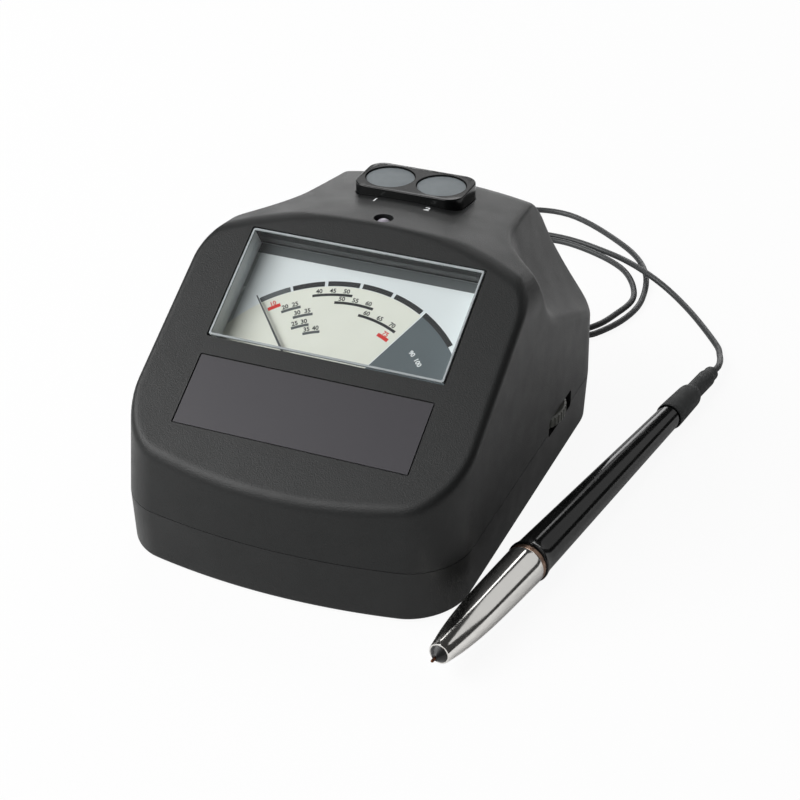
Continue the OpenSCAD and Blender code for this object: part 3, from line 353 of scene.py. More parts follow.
# a thin clear pane: light goes straight through and only the outer faces gloss
# passed is the share of each colour of light that comes through a face
def clearMaterial(name, passed, ior, rough):
    material, tree = startMaterial(name)
    fresnel = addNode(tree, "ShaderNodeFresnel", {"IOR": ior})
    behind = addNode(tree, "ShaderNodeNewGeometry").outputs["Backfacing"]
    outer = addNode(tree, "ShaderNodeMath", {0: 1.0, 1: behind}, operation="SUBTRACT")
    share = addNode(tree, "ShaderNodeMath", {0: fresnel.outputs[0], 1: outer.outputs[0]}, operation="MULTIPLY")
    clear = addNode(tree, "ShaderNodeBsdfTransparent", {"Color": passed})
    gloss = addNode(tree, "ShaderNodeBsdfGlossy", {"Color": white, "Roughness": rough})
    mixed = addNode(tree, "ShaderNodeMixShader", {"Fac": share.outputs[0], 1: clear.outputs[0], 2: gloss.outputs[0]})
    return closeMaterial(material, tree, mixed)


# clear acrylic cover, with its gloss set weaker than bare acrylic's so that the dial can be read from the side
clearAcrylic = clearMaterial("clearAcrylic", passed=(0.97, 0.98, 0.98, 1), ior=1.3, rough=0.03)
# rim of the clear cover, painted an opaque pale grey: a painted highlight for the light that its sawn and polished
# edge pipes
rimPaintedHighlight = grainedMaterial(
    "rimPaintedHighlight", "#b4babc", "#868c8e", mottle=6, grain=0.3, relief=0.05, rough=(0.1, 0.2))

nodeLook = {
    "upper_shell": charcoalAbs, "lower_base": charcoalAbs, "battery_door": charcoalAbs, "nameplate": plateFilm,
    "meter_window": clearAcrylic, "meter_case": plainBlack, "dial_plate": dialEnamel, "meter_yoke": softIron,
    "meter_core": softIron, "meter_bridge": satinBrass, "moving_coil": brightCopper, "needle_pivot": zincSteel,
    "needle": needlePaint, "disc_holder": glossBlack, "left_disc": discMetal, "right_disc": discMetal,
    "holder_screws": zincSteel, "ready_lamp": lampResin, "main_board": solderMask, "board_chips": plainBlack,
    "potentiometer": bluePlastic, "thumbwheel": wheelPaintedSheen, "battery_cells": cellJacket,
    "battery_contacts": zincSteel, "case_screws": zincSteel, "board_screws": zincSteel, "meter_screws": zincSteel,
    "rubber_feet": blackRubber, "cord_gland": blackRubber, "probe_cord": cordSheath, "probe_nose": noseChrome,
    "tip_guide": plainBlack, "probe_tip": heatedCopper, "thermal_carrier": bisque, "tip_spring": zincSteel,
    "probe_spigot": plainBlack, "probe_ring": ringBronze, "probe_barrel": glossBlack,
    "probe_collar": blackRubber, "probe_relief": blackRubber}
for nodeName, look in nodeLook.items():
    nodes[nodeName].data.materials.clear()
    nodes[nodeName].data.materials.append(look)
print("materials made")


# probe cord: the route of the solid, smoothed in finer steps
cordForm = {
    "diameter": 2.2, "low": 1.2, "steps": 8, "sides": 14,
    "route": [
        (-30, 86, 16.8), (-30, 92, 16.6), (-30, 100, 13), (-30, 110, 6.5), (-30, 122, 1.6),
        (-27, 142, 1.2), (-16, 166, 1.2), (0, 175.5, 1.2), (17, 172.5, 1.2), (34.5, 161.5, 1.2),
        (44, 143, 1.2), (42, 127, 1.2), (36, 113, 1.2), (20, 98, 1.2), (-6, 89, 1.2),
        (-34, 92, 1.2), (-54, 112, 1.2), (-58, 146, 1.2), (-46, 178, 1.2), (-24, 195, 1.2),
        (0, 200, 1.2), (28, 182, 1.2), (42, 164, 1.2), (47.5, 142, 1.2), (46, 125, 1.2),
        (39, 109.5, 1.2), (30, 102, 3.2), (20, 98.5, 4), (8, 98, 2.8), (-30, 106, 1.2),
        (-44, 132, 1.2), (-24, 172, 1.2), (0, 179.5, 1.2), (25, 173, 1.4), (44.5, 157.5, 3.9),
        (61, 145.5, 1.3), (80, 121, 1.2), (84.8, 110.5, 2), (86.8, 101, 3.5), (86, 95, 3.7)]}


def tubeMesh(name, path, radius, sides):
    ahead = np.gradient(path, axis=0)
    ahead /= np.linalg.norm(ahead, axis=1)[:, None]
    side = np.cross(ahead, (0, 0, 1))
    side /= np.linalg.norm(side, axis=1)[:, None]
    up = np.cross(side, ahead)
    turn = np.arange(sides) * 2 * math.pi / sides
    rings = path[:, None] + radius * (side[:, None] * np.cos(turn)[:, None] + up[:, None] * np.sin(turn)[:, None])
    return loftMesh(name, rings.tolist())


cordPath = smoothRoute(cordForm["route"], cordForm["steps"])
cordPath[:, 2] = np.maximum(cordPath[:, 2], cordForm["low"])
cordMesh = tubeMesh("probeCord", cordPath, cordForm["diameter"] / 2, cordForm["sides"])
cordTube = finishPiece("probeCord", cordMesh, None, cordSheath, smooth=50)
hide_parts("probe_cord")
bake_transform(cordTube)


# housing: one smooth skin over the solid, with every edge rounded as moulded
shellForm = {
    "jointHeight": 16.8, "jointGap": 0.16, "wall": 2.2, "halfWidth": 53.76, "draft": 0.012, "baseDraft": 0.039,
    "front": -73.56, "bow": 195.9, "frontLean": 0.127, "baseLean": 0.027, "frontCorner": 14.6,
    "rear": 73.56, "rearCorner": 21.5, "rearDraft": 0.02, "rearLean": 0.262, "rearLeanHeight": 27.26,
    "panelY": -48.2, "panelZ": 47.99, "panelSlope": 32.2, "panelEdge": 1.9,
    "deckY": 14.76, "deckZ": 83.18, "deckRadius": 154.2, "deckFall": 6.96, "deckRear": 8, "shoulder": 6.5,
    "crestZ": 83.0, "crestEdge": 0.6,
    "scoopX": 90.8, "scoopY": 24.76, "scoopZ": 104.5, "scoopFall": 23.09, "scoopRadius": 60.58,
    "scoopReach": -15.17, "scoopEnd": 32.6, "scoopEdge": 1.2,
    "floorZ": 0.2, "floorEdge": 1.2,
    "boxLow": (-57.3, -77.1), "boxHigh": (57.4, 77.2, 86), "below": 5, "fineStep": 0.9, "innerStep": 2.4, "rounds": 3}


# the common part of two forms, given by their distances, with a rounded edge between them
def roundMax(a, b, r):
    both = (a > -r) & (b > -r)
    return np.where(both, np.hypot(a + r, b + r) - r, np.maximum(a, b))


def wallDistance(p):
    s = shellForm
    x, y, z = np.abs(p[..., 0]), p[..., 1], p[..., 2]
    up, down = np.maximum(z - s["jointHeight"], 0), np.maximum(s["jointHeight"] - z, 0)
    side = x - (s["halfWidth"] - s["draft"] * up - s["baseDraft"] * down)
    frontY = s["front"] + s["frontLean"] * up + s["baseLean"] * down
    front = np.hypot(x, y - frontY - s["bow"]) - s["bow"]
    rear = y - (s["rear"] - s["rearDraft"] * up - s["baseLean"] * down)
    return roundMax(roundMax(side, front, s["frontCorner"]), rear, s["rearCorner"])


def shellDistance(p):
    s = shellForm
    x, y, z = np.abs(p[..., 0]), p[..., 1], p[..., 2]
    slope = math.radians(s["panelSlope"])
    panel = (z - s["panelZ"]) * math.cos(slope) - (y - s["panelY"]) * math.sin(slope)
    fall = math.radians(s["deckFall"])
    q = (z - s["deckZ"]) * math.cos(fall) + (y - s["deckY"]) * math.sin(fall) + s["deckRadius"]
    deck = np.hypot(x, q) - s["deckRadius"]
    lean = math.atan(s["rearLean"])
    upperRear = (y - s["rear"]) * math.cos(lean) + (z - s["rearLeanHeight"]) * math.sin(lean)
    hood = roundMax(wallDistance(p), roundMax(deck, upperRear, s["deckRear"]), s["shoulder"])
    top = roundMax(panel, z - s["crestZ"], s["crestEdge"])
    body = roundMax(hood, top, s["panelEdge"])
    tilt = math.radians(s["scoopFall"])
    along = (y - s["scoopY"]) * math.cos(tilt) - (z - s["scoopZ"]) * math.sin(tilt)
    across = (y - s["scoopY"]) * math.sin(tilt) + (z - s["scoopZ"]) * math.cos(tilt)
    drum = np.hypot(x - s["scoopX"], across) - s["scoopRadius"]
    scoop = roundMax(drum, s["scoopReach"] - along, s["scoopEnd"])
    return roundMax(body, -scoop, s["scoopEdge"])


# one vertex in each grid cell that the surface crosses, one quad over each grid edge that it cuts
def surfaceNet(distance, low, high, step):
    low = np.array(low, float)
    counts = np.ceil((np.array(high) - low) / step).astype(int) + 1
    axes = [low[i] + step * np.arange(counts[i]) for i in range(3)]
    field = distance(np.stack(np.meshgrid(*axes, indexing="ij"), -1))
    inside = field < 0
    shape = tuple(counts - 1)
    hits, places = np.zeros(shape), np.zeros(shape + (3,))
    corners = [np.array(c) for c in np.ndindex(2, 2, 2)]

    def part(array, c):
        return array[c[0]:c[0] + shape[0], c[1]:c[1] + shape[1], c[2]:c[2] + shape[2]]

    for c in corners:
        for axis in range(3):
            if c[axis]:
                continue
            d = c.copy()
            d[axis] = 1
            fa, fb = part(field, c), part(field, d)
            cut = part(inside, c) != part(inside, d)
            t = np.where(cut, fa / np.where(cut, fa - fb, 1), 0)
            hits += cut
            for k in range(3):
                places[..., k] += np.where(cut, c[k] + t * (d[k] - c[k]), 0)
    used = hits > 0
    index = np.full(shape, -1)
    index[used] = np.arange(used.sum())
    vertices = low + step * (np.argwhere(used) + places[used] / hits[used][:, None])
    faces = []
    for axis in range(3):
        j, k = (axis + 1) % 3, (axis + 2) % 3
        first = [slice(None)] * 3
        second = [slice(None)] * 3
        first[axis], second[axis] = slice(0, -1), slice(1, None)
        a, b = inside[tuple(first)], inside[tuple(second)]
        cells = np.argwhere(a != b)
        keep = (cells[:, j] > 0) & (cells[:, k] > 0) & (cells[:, j] < shape[j]) & (cells[:, k] < shape[k])
        cells = cells[keep]
        outwards = a[tuple(cells.T)]
        ring = []
        for dj, dk in ((1, 1), (0, 1), (0, 0), (1, 0)):
            cell = cells.copy()
            cell[:, j] -= dj
            cell[:, k] -= dk
            ring.append(index[tuple(cell.T)])
        quads = np.stack(ring, 1)
        quads[~outwards] = quads[~outwards][:, ::-1]
        faces.append(quads)
    return vertices, np.concatenate(faces)


# moves points onto the surface, along the slope of its distance
def settle(points, distance, rounds):
    h = 0.02  # half the length over which the slope is measured
    faintest = 0.3  # keeps a step short where the slope is faint
    for _ in range(rounds):
        d = distance(points)
        slope = np.stack([(distance(points + h * e) - distance(points - h * e)) / (2 * h) for e in np.eye(3)], -1)
        points = points - (d / np.maximum((slope ** 2).sum(-1), faintest))[:, None] * slope
    return points


# evens out the net: each point goes halfway to the middle of its neighbours and back onto the surface
def relax(points, quads, distance, rounds):
    edges = np.concatenate([quads[:, [i, (i + 1) % 4]] for i in range(4)])
    edges = np.unique(np.sort(edges, 1), axis=0)
    share, pulls = 0.5, 2
    for _ in range(rounds):
        total, count = np.zeros_like(points), np.zeros(len(points))
        for a, b in ((0, 1), (1, 0)):
            np.add.at(total, edges[:, a], points[edges[:, b]])
            np.add.at(count, edges[:, a], 1)
        points = settle(points + share * (total / count[:, None] - points), distance, pulls)
    return points


def shellSkin():
    s = shellForm
    low, high = (*s["boxLow"], s["jointHeight"] - s["below"]), s["boxHigh"]
    outer, outerQuads = surfaceNet(shellDistance, low, high, s["fineStep"])
    outer = relax(settle(outer, shellDistance, s["rounds"]), outerQuads, shellDistance, s["rounds"])

    def hollow(p):
        return -(shellDistance(p) + s["wall"])

    inner, innerQuads = surfaceNet(hollow, low, high, s["innerStep"])
    inner = settle(inner, hollow, s["rounds"])
    allPoints = np.concatenate([outer, inner])
    allQuads = np.concatenate([outerQuads, innerQuads + len(outer)])
    mesh = meshOf("upperShell", allPoints.tolist(), allQuads.tolist())
    bm = bmesh.new()
    bm.from_mesh(mesh)
    cut = bmesh.ops.bisect_plane(
        bm, geom=bm.verts[:] + bm.edges[:] + bm.faces[:], dist=mergeReach,
        plane_co=(0, 0, (s["jointHeight"] + s["jointGap"]) * mm), plane_no=(0, 0, 1), clear_inner=True)
    rim = [e for e in cut["geom_cut"] if isinstance(e, bmesh.types.BMEdge)]
    bmesh.ops.triangle_fill(bm, use_beauty=True, use_dissolve=False, edges=rim, normal=(0, 0, -1))
    bm.to_mesh(mesh)
    bm.free()
    return mesh


# frame of the panel: x across, y up the slope from the plate's middle, z outwards
slopeAngle = math.radians(shellForm["panelSlope"])
panelFrame = Matrix.Translation((0, shellForm["panelY"], shellForm["panelZ"])) @ Matrix.Rotation(slopeAngle, 4, "X")

# openings of the shell: each is a prism over its span, in a frame of its own
shellOpenings = {
    "window": {"size": (75.7, 39.1), "corner": 0.6, "steps": 3, "place": (0, 37.3, 0), "span": (-12, 6)},
    "plate": {"size": (74.2, 23.6), "corner": 0.5, "steps": 3, "place": (0, 0, 0), "span": (-0.5, 6)},
    "lamp": {"radius": 3.05, "steps": 48, "place": (0, 11.845, 0), "span": (70, 95)},
    "holder": {"size": (36.2, 19.4), "corner": 5.2, "steps": 8, "place": (0, 37.295, 0), "span": (78.3, 100)},
    "slot": {"size": (21.46, 6.0), "corner": 1.0, "steps": 5, "place": (0, 26.6, 18.2), "span": (48, 60)},
    "gland": {"radius": 3.5, "steps": 40, "place": (-30, 0, 16.8), "span": (66, 80)}}


def openingCutters():
    sideways = Matrix(((0, 0, 1), (1, 0, 0), (0, 1, 0))).to_4x4()
    rearwards = Matrix(((-1, 0, 0), (0, 0, 1), (0, 1, 0))).to_4x4()
    bm = bmesh.new()
    for name, cut in shellOpenings.items():
        if "radius" in cut:
            outline = circleOutline(cut["radius"], cut["steps"])
        else:
            outline = roundedOutline(*cut["size"], cut["corner"], cut["steps"])
        place = Matrix.Translation(cut["place"])
        if name in ("window", "plate"):
            place = panelFrame @ place
        elif name in ("slot", "gland"):
            place = place @ (sideways if name == "slot" else rearwards)
        addPrism(bm, outline, *cut["span"], place)
    bmesh.ops.recalc_face_normals(bm, faces=bm.faces[:])
    return meshFromBm("openingCutters", bm)


shellMesh = combineMeshes(shellSkin(), openingCutters(), "DIFFERENCE")
shellPiece = finishPiece("upperShell", shellMesh, "housing", charcoalAbs, smooth=38)
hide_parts("upper_shell")
print("upper shell skinned with", len(shellMesh.polygons), "faces")


# base and battery door keep the solid's inside, and their outer walls are drawn in to the skin of the shell
baseForm = {
    "rays": 720, "reach": (54, 74), "farthest": 1.6, "halvings": 34,
    "skim": 1e-4, "edgeSteps": 7, "levels": [1.4, 4, 8, 12, 16.8], "top": 22}


def baseDistance(p):
    return roundMax(wallDistance(p), shellForm["floorZ"] - p[..., 2], shellForm["floorEdge"])


# outline of the base at one height, found along rays by halving
def outlineRing(z):
    b = baseForm
    t = np.arange(b["rays"]) * 2 * math.pi / b["rays"]
    ahead = np.stack([b["reach"][0] * np.cos(t), b["reach"][1] * np.sin(t), 0 * t], -1)
    near, far = np.zeros(len(t)), np.full(len(t), b["farthest"])
    for _ in range(b["halvings"]):
        middle = (near + far) / 2
        inside = baseDistance(middle[:, None] * ahead + np.array((0, 0, z))) < 0
        near, far = np.where(inside, middle, near), np.where(inside, far, middle)
    return (near[:, None] * ahead + np.array((0, 0, z))).tolist()


def baseBlock():
    edge, low = shellForm["floorEdge"], shellForm["floorZ"] + baseForm["skim"]
    foot = [low + edge * (1 - math.cos(a)) for a in quarterTurns(baseForm["edgeSteps"])[:-1]]
    return loftMesh("baseBlock", [outlineRing(z) for z in foot + baseForm["levels"] + [baseForm["top"]]])


def mergedCopy(node):
    source = nodes[node].data
    mesh = bpy.data.meshes.new(node + "Copy")
    mesh.from_pydata([v.co[:] for v in source.vertices], [], [p.vertices[:] for p in source.polygons])
    bm = bmesh.new()
    bm.from_mesh(mesh)
    bmesh.ops.remove_doubles(bm, verts=bm.verts[:], dist=mergeReach)
    bm.to_mesh(mesh)
    bm.free()
    return mesh


for pieceName, node, body in (("lowerBase", "lower_base", "housing"), ("batteryDoor", "battery_door", "door")):
    trimmed = combineMeshes(mergedCopy(node), baseBlock(), "INTERSECT")
    piece = finishPiece(pieceName, trimmed, body, charcoalAbs, smooth=35)
    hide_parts(node)
    print(pieceName, "trimmed to the skin with", len(trimmed.polygons), "faces")


# disc holder: a polished block with a rounded rim and two pockets for the discs
holderForm = {
    "width": 35.8, "length": 19.0, "corner": 5.0, "edge": 0.4, "y": 37.295, "low": 78.3, "high": 84.2,
    "pitch": 17.1, "pocket": 7.9, "pocketFloor": 82.5, "pocketOver": 2,
    "cornerSteps": 10, "edgeSteps": 5, "sides": 96,
    "disc": 7.7, "discSeat": 0.01, "discFoot": 0.1, "discTop": 83.7, "discEdge": 0.18}


def holderRing(inset, z):
    h = holderForm
    outline = roundedOutline(h["width"] - 2 * inset, h["length"] - 2 * inset, h["corner"] - inset, h["cornerSteps"])
    return [(x, y + h["y"], z) for x, y in outline]


def pocketPlace(side):
    return Matrix.Translation((side * holderForm["pitch"] / 2, holderForm["y"], 0))


def holderMesh():
    h = holderForm
    edge, high = h["edge"], h["high"]
    rings = [holderRing(0, h["low"])]
    for a in quarterTurns(h["edgeSteps"]):
        rings.append(holderRing(edge * (1 - math.cos(a)), high - edge * (1 - math.sin(a))))
    bm = bmesh.new()
    for side in (-1, 1):
        pocket = circleOutline(h["pocket"], h["sides"])
        addPrism(bm, pocket, h["pocketFloor"], high + h["pocketOver"], pocketPlace(side))
    bmesh.ops.recalc_face_normals(bm, faces=bm.faces[:])
    return combineMeshes(loftMesh("discHolder", rings), meshFromBm("pockets", bm), "DIFFERENCE")


def discMesh(name, side):
    h = holderForm
    r, high, edge, foot = h["disc"], h["discTop"], h["discEdge"], h["discFoot"]
    low = h["pocketFloor"] + h["discSeat"]
    profile = [(0, low), (r - foot, low), (r, low + foot)]
    for a in quarterTurns(h["edgeSteps"]):
        profile.append((r - edge * (1 - math.cos(a)), high - edge * (1 - math.sin(a))))
    profile.append((0, high))
    return latheMesh(name, profile, pocketPlace(side), h["sides"])


holderPiece = finishPiece("discHolder", holderMesh(), "housing", glossBlack, smooth=40)
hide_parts("disc_holder")
for pieceName, node, side in (("leftDisc", "left_disc", -1), ("rightDisc", "right_disc", 1)):
    piece = finishPiece(pieceName, discMesh(pieceName, side), "housing", discMetal, smooth=40)
    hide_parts(node)
print("disc holder set")


# lens of the ready lamp: a dome that shows in the lower half of its hole
lensForm = {"radius": 2.62, "low": 76.0, "high": 82.35, "steps": 10, "sides": 48}


def lensMesh():
    f = lensForm
    r, middle = f["radius"], f["high"] - f["radius"]
    dome = [(r * math.cos(a), middle + r * math.sin(a)) for a in quarterTurns(f["steps"])[:-1]]
    profile = [(0, f["low"]), (r, f["low"])] + dome + [(0, f["high"])]
    return latheMesh("lampLens", profile, Matrix.Translation(shellOpenings["lamp"]["place"]), f["sides"])


finishPiece("lampLens", lensMesh(), "housing", lampResin, smooth=40)


# printed figures, thin slabs in a bold cut of the built-in font; the boldness is a share of the height
figureFace = {"boldness": 0.025, "curveSteps": 4}


def figureMesh(text, height, thickness):
    data = bpy.data.curves.new("figure", "FONT")
    data.body = text
    data.size = height * mm
    data.offset = height * figureFace["boldness"] * mm
    data.extrude = thickness / 2 * mm
    data.align_x = "CENTER"
    data.resolution_u = figureFace["curveSteps"]
    item = addObject("figure", data)
    mesh = evaluatedMesh(item)
    bpy.data.objects.remove(item)
    bpy.data.curves.remove(data)
    return mesh


deckMarks = {"height": 3.6, "film": 0.06, "level": 82, "rounds": 4, "spots": (("1", -8.4, 23.6), ("2", 9.0, 23.6))}


def deckMarkMesh():
    bm = bmesh.new()
    for text, x, y in deckMarks["spots"]:
        figure = figureMesh(text, deckMarks["height"], deckMarks["film"])
        points = np.array([v.co[:] for v in figure.vertices]) / mm
        lift = points[:, 2].copy()
        flat = points + np.array((x, y, 0))
        flat[:, 2] = deckMarks["level"]
        ground = settle(flat, shellDistance, deckMarks["rounds"])
        ground[:, 2] += lift
        for v, p in zip(figure.vertices, ground):
            v.co = p * mm
        bm.from_mesh(figure)
        bpy.data.meshes.remove(figure)
    bmesh.ops.remove_doubles(bm, verts=bm.verts[:], dist=mergeReach)
    return meshFromBm("deckMarks", bm)


finishPiece("deckMarks", deckMarkMesh(), "housing", inks["white"])


# dial: printed sectors, arc and bars about the needle's pivot, and a grey band of painted shade along its upper edge;
# angles in degrees from the right
dialForm = {
    "pivot": 3.0, "plane": -8.0, "arc": (44.1, 45.8), "arcStep": 1.2, "barWidth": 0.9, "redWidth": 1.17,
    "figure": 2.0, "figureLift": 0.7, "figureFilm": 0.04, "figureHeight": 0.03,
    # shade is a band of painted shade across the dial's upper edge: its half width and its low and high ends up the
    # slope
    "shade": (37.0, 52.7, 56.2), "divider": (23, 45.7, 61.95, 0.22),
    "sectors": (("cream", 44.0, 62.2, 150.2), ("slate", 44.3, 30.4, 61.7)),
    "sectorHalf": 38.2, "sectorLow": 8.6, "sectorSteps": 60,
    "scale": ((119.2, 131.6, "grey"), (105.6, 118.2, "black"), (91.5, 104.3, "black"), (77.7, 90.3, "black"),
              (63.2, 76.4, "black"), (43.9, 61.8, "black")),
    "bars": ((40.7, 124.6, 130.3, "red", "10"), (38.0, 116.0, 125.2, "grey", "20 25"),
             (34.8, 110.4, 120.5, "grey", "30 35"), (31.3, 112.6, 122.6, "grey", "25 30"),
             (28.4, 106.1, 116.6, "grey", "35 40"), (41.1, 93.2, 110.6, "black", "40 45 50"),
             (38.4, 81.8, 100.5, "black", "50 55 60"), (35.2, 65.4, 87.2, "black", "60 65 70"),
             (31.8, 65.0, 72.2, "red", "75")),
    "zone": (33.0, 41.0, 53.0, "90 100"),
    "films": {"sector": (-0.005, 0.02), "divider": (0, 0.03), "shade": (-0.005, 0.03), "scale": (0.005, 0.04),
              "bar": (0.005, 0.045)}}

dialFrame = panelFrame @ Matrix.Translation((0, dialForm["pivot"], dialForm["plane"]))


def polar(radius, degrees):
    return radius * math.cos(math.radians(degrees)), radius * math.sin(math.radians(degrees))


def arcBand(inner, outer, start, end):
    steps = max(3, round((end - start) / dialForm["arcStep"]))
    turns = [start + (end - start) * i / steps for i in range(steps + 1)]
    return [polar(outer, a) for a in turns] + [polar(inner, a) for a in reversed(turns)]


# a sector runs down to the dial's lower edge, on one side along a ray and on the other along the dial's end
def sectorOutline(radius, start, end):
    d = dialForm
    low, half, steps = d["sectorLow"] - d["pivot"], d["sectorHalf"], d["sectorSteps"]
    arc = [polar(radius, start + (end - start) * i / steps) for i in range(steps + 1)]
    rightHand = end < 90
    foot = low / math.tan(math.radians(end if rightHand else start))
    return arc + ([(foot, low), (half, low)] if rightHand else [(-half, low), (foot, low)])


def dialMeshes():
    d, films = dialForm, dialForm["films"]
    layers = {ink: bmesh.new() for ink in inks}
    for ink, radius, start, end in d["sectors"]:
        addPrism(layers[ink], sectorOutline(radius, start, end), *films["sector"], dialFrame)
    inner, outer, turn, width = d["divider"]
    low, high, side = [np.array(polar(*p)) for p in ((inner, turn), (outer, turn), (width / 2, turn - 90))]
    addPrism(layers["white"], (low - side, low + side, high + side, high - side), *films["divider"], dialFrame)
    # painted shade: a grey band along the dial's upper edge stands in for the dark seen there under the cover's upper
    # wall
    half, low, high = d["shade"]
    low, high = low - d["pivot"], high - d["pivot"]
    addPrism(layers["grey"], [(-half, low), (half, low), (half, high), (-half, high)], *films["shade"], dialFrame)
    for start, end, ink in d["scale"]:
        addPrism(layers[ink], arcBand(*d["arc"], start, end), *films["scale"], dialFrame)
    for radius, start, end, ink, figures in d["bars"]:
        half = d["redWidth" if ink == "red" else "barWidth"] / 2
        addPrism(layers[ink], arcBand(radius - half, radius + half, start, end), *films["bar"], dialFrame)
        addFigures(layers["red" if ink == "red" else "black"], figures, radius, start, end)
    radius, start, end, figures = d["zone"]
    addFigures(layers["white"], figures, radius, start, end)
    for bm in layers.values():
        bmesh.ops.remove_doubles(bm, verts=bm.verts[:], dist=mergeReach)
        bmesh.ops.recalc_face_normals(bm, faces=bm.faces[:])
    return {ink: meshFromBm("dial" + ink.capitalize(), bm) for ink, bm in layers.items()}


def addFigures(bm, figures, radius, start, end):
    words = figures.split()
    for i, word in enumerate(words):
        at = end - (end - start) * (i + 0.5) / len(words)
        figure = figureMesh(word, dialForm["figure"], dialForm["figureFilm"])
        spot = Matrix.Translation((*polar(radius + dialForm["figureLift"], at), dialForm["figureHeight"]))
        place = dialFrame @ spot @ Matrix.Rotation(math.radians(at - 90), 4, "Z")
        for v in figure.vertices:
            v.co = (place @ (v.co / mm)) * mm
        bm.from_mesh(figure)
        bpy.data.meshes.remove(figure)


for ink, mesh in dialMeshes().items():
    finishPiece(mesh.name, mesh, "housing", inks[ink])
print("dial printed")


# rim of the clear cover: a thin band round the top of the pane
rimForm = {
    "width": 74.6, "length": 38.0, "middle": 37.3, "band": 0.62, "low": -0.35, "high": 0.215, "bevel": 0.12,
    "corner": 0.7, "steps": 4}


def rimMesh():
    r = rimForm
    low, high, band, bevel = r["low"], r["high"], r["band"], r["bevel"]
    place = panelFrame @ Matrix.Translation((0, r["middle"], 0))
    loops = []
    for inset, height in ((0, low), (0, high - bevel), (bevel, high), (band, high), (band, low)):
        outline = roundedOutline(
            r["width"] - 2 * inset, r["length"] - 2 * inset, r["corner"] - inset / 3, r["steps"])
        loops.append([place @ Vector((x, y, height)) for x, y in outline])
    n, count = len(loops[0]), len(loops)
    faces = [(i * n + k, i * n + (k + 1) % n, (i + 1) % count * n + (k + 1) % n, (i + 1) % count * n + k)
             for i in range(count) for k in range(n)]
    return facesOut(meshOf("windowRim", [p for loop in loops for p in loop], faces))


# the rim is opaque and pale: a painted highlight where the clear edge catches the light
finishPiece("windowRim", rimMesh(), "housing", rimPaintedHighlight, smooth=30)

# pale films in the dial's enamel along both flanks of the cover, so that the window's sides show pale; they also
# throw light onto the dial
cheekForm = {"reach": 37.2, "film": 0.12, "low": 18.6, "high": 56.0, "deep": -7.9, "shallow": -0.4}


def cheekMesh():
    c = cheekForm
    bm = bmesh.new()
    for side in (-1, 1):
        flat = Matrix.Translation((side * (c["reach"] - c["film"] / 2), 0, 0))
        outline = [(-c["film"] / 2, c["low"]), (c["film"] / 2, c["low"]), (c["film"] / 2, c["high"]),
                   (-c["film"] / 2, c["high"])]
        addPrism(bm, outline, c["deep"], c["shallow"], panelFrame @ flat)
    return meshFromBm("dialCheeks", bm)


finishPiece("dialCheeks", cheekMesh(), "housing", dialEnamel)
print("window rimmed")


# probe pen: turned pieces along its own axis, measured from the front ring of the nose
penForm = {
    "front": (58.372, -87.681, 7.792), "axis": (0.149501, 0.988532, -0.021293), "sides": 72,
    "noseLength": 49.0, "noseRadius": 6.25, "tipRadius": 3.2, "swell": 0.72, "swellPower": 4,
    "noseSteps": 26, "noseInset": 0.3,
    "noseLip": [(2.3, 3), (2.3, 0.25), (2.45, 0.05), (2.85, 0), (3.08, 0.08)],
    "noseHeel": [(6.2, -0.1), (6.05, 0), (4.5, 0), (4.5, -6)],  # counted from the nose's end
    "ring": [(4.5, 49.0), (6.05, 49.0), (6.2, 49.15), (6.2, 50.65), (6.05, 50.8), (4.5, 50.8)],
    "barrelFront": [(4.4, 52), (4.4, 50.8), (6.38, 50.8), (6.58, 50.9), (6.65, 51.15)],
    "barrelFlare": [(6.62, 51.7), (6.36, 52.9), (6.16, 54.3), (6.08, 56.2), (6.02, 59.0)], "flareSteps": 4,
    "barrelBack": [(4.05, 148.7), (3.6, 154), (2.6, 154)],
    "collar": [(4.2, 150.4), (4.2, 149.12), (4.35, 149.1), (4.5, 149.2), (4.55, 149.5), (4.55, 150.7), (4.12, 164.6),
               (4.02, 165.6), (3.78, 166.5), (3.42, 167.4), (3.2, 167.68), (2.9, 167.7), (2.9, 160)],
    "relief": [(0, 167.72), (3.0, 167.72), (3.0, 179.5), (2.93, 180), (2.6, 180.8), (2.5, 181.4), (2.5, 183.6),
               (2.4, 184.2), (2.0, 184.62), (1.5, 184.7), (0, 184.7)]}

penFrame = (Matrix.Translation(penForm["front"])
            @ Vector(penForm["axis"]).to_track_quat("Z", "Y").to_matrix().to_4x4())


# the nose swells fast behind its tip and runs almost straight to the ring
def noseProfile():
    p = penForm
    length, inset, taper = p["noseLength"], p["noseInset"], p["noseRadius"] - p["tipRadius"]
    outer = []
    for i in range(p["noseSteps"] + 1):
        t = i / p["noseSteps"]
        shrink = p["swell"] * (1 - t) ** p["swellPower"] + (1 - p["swell"]) * (1 - t)
        outer.append((p["noseRadius"] - taper * shrink, inset + (length - 2 * inset) * t))
    return p["noseLip"] + outer + [(r, length + u) for r, u in p["noseHeel"]]


def barrelProfile():
    flare = [tuple(q) for q in smoothRoute(penForm["barrelFlare"], penForm["flareSteps"])]
    return penForm["barrelFront"] + flare + penForm["barrelBack"]


for pieceName, node, profile, slot, look in (
        ("probeNose", "probe_nose", noseProfile(), "nose_chrome", noseChrome),
        ("probeRing", "probe_ring", penForm["ring"], "copper", ringBronze),
        ("probeBarrel", "probe_barrel", barrelProfile(), "gloss_black", glossBlack),
        ("probeCollar", "probe_collar", penForm["collar"], "black_rubber", blackRubber),
        ("probeRelief", "probe_relief", penForm["relief"], "black_rubber", blackRubber)):
    turned = latheMesh(pieceName, profile, penFrame, penForm["sides"])
    piece = finishPiece(pieceName, turned, "probe", look, smooth=32)
    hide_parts(node)


springPiece = finishPiece("tipSpring", mergedCopy("tip_spring"), None, zincSteel, smooth=40)
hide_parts("tip_spring")
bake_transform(springPiece)
print("pen turned")


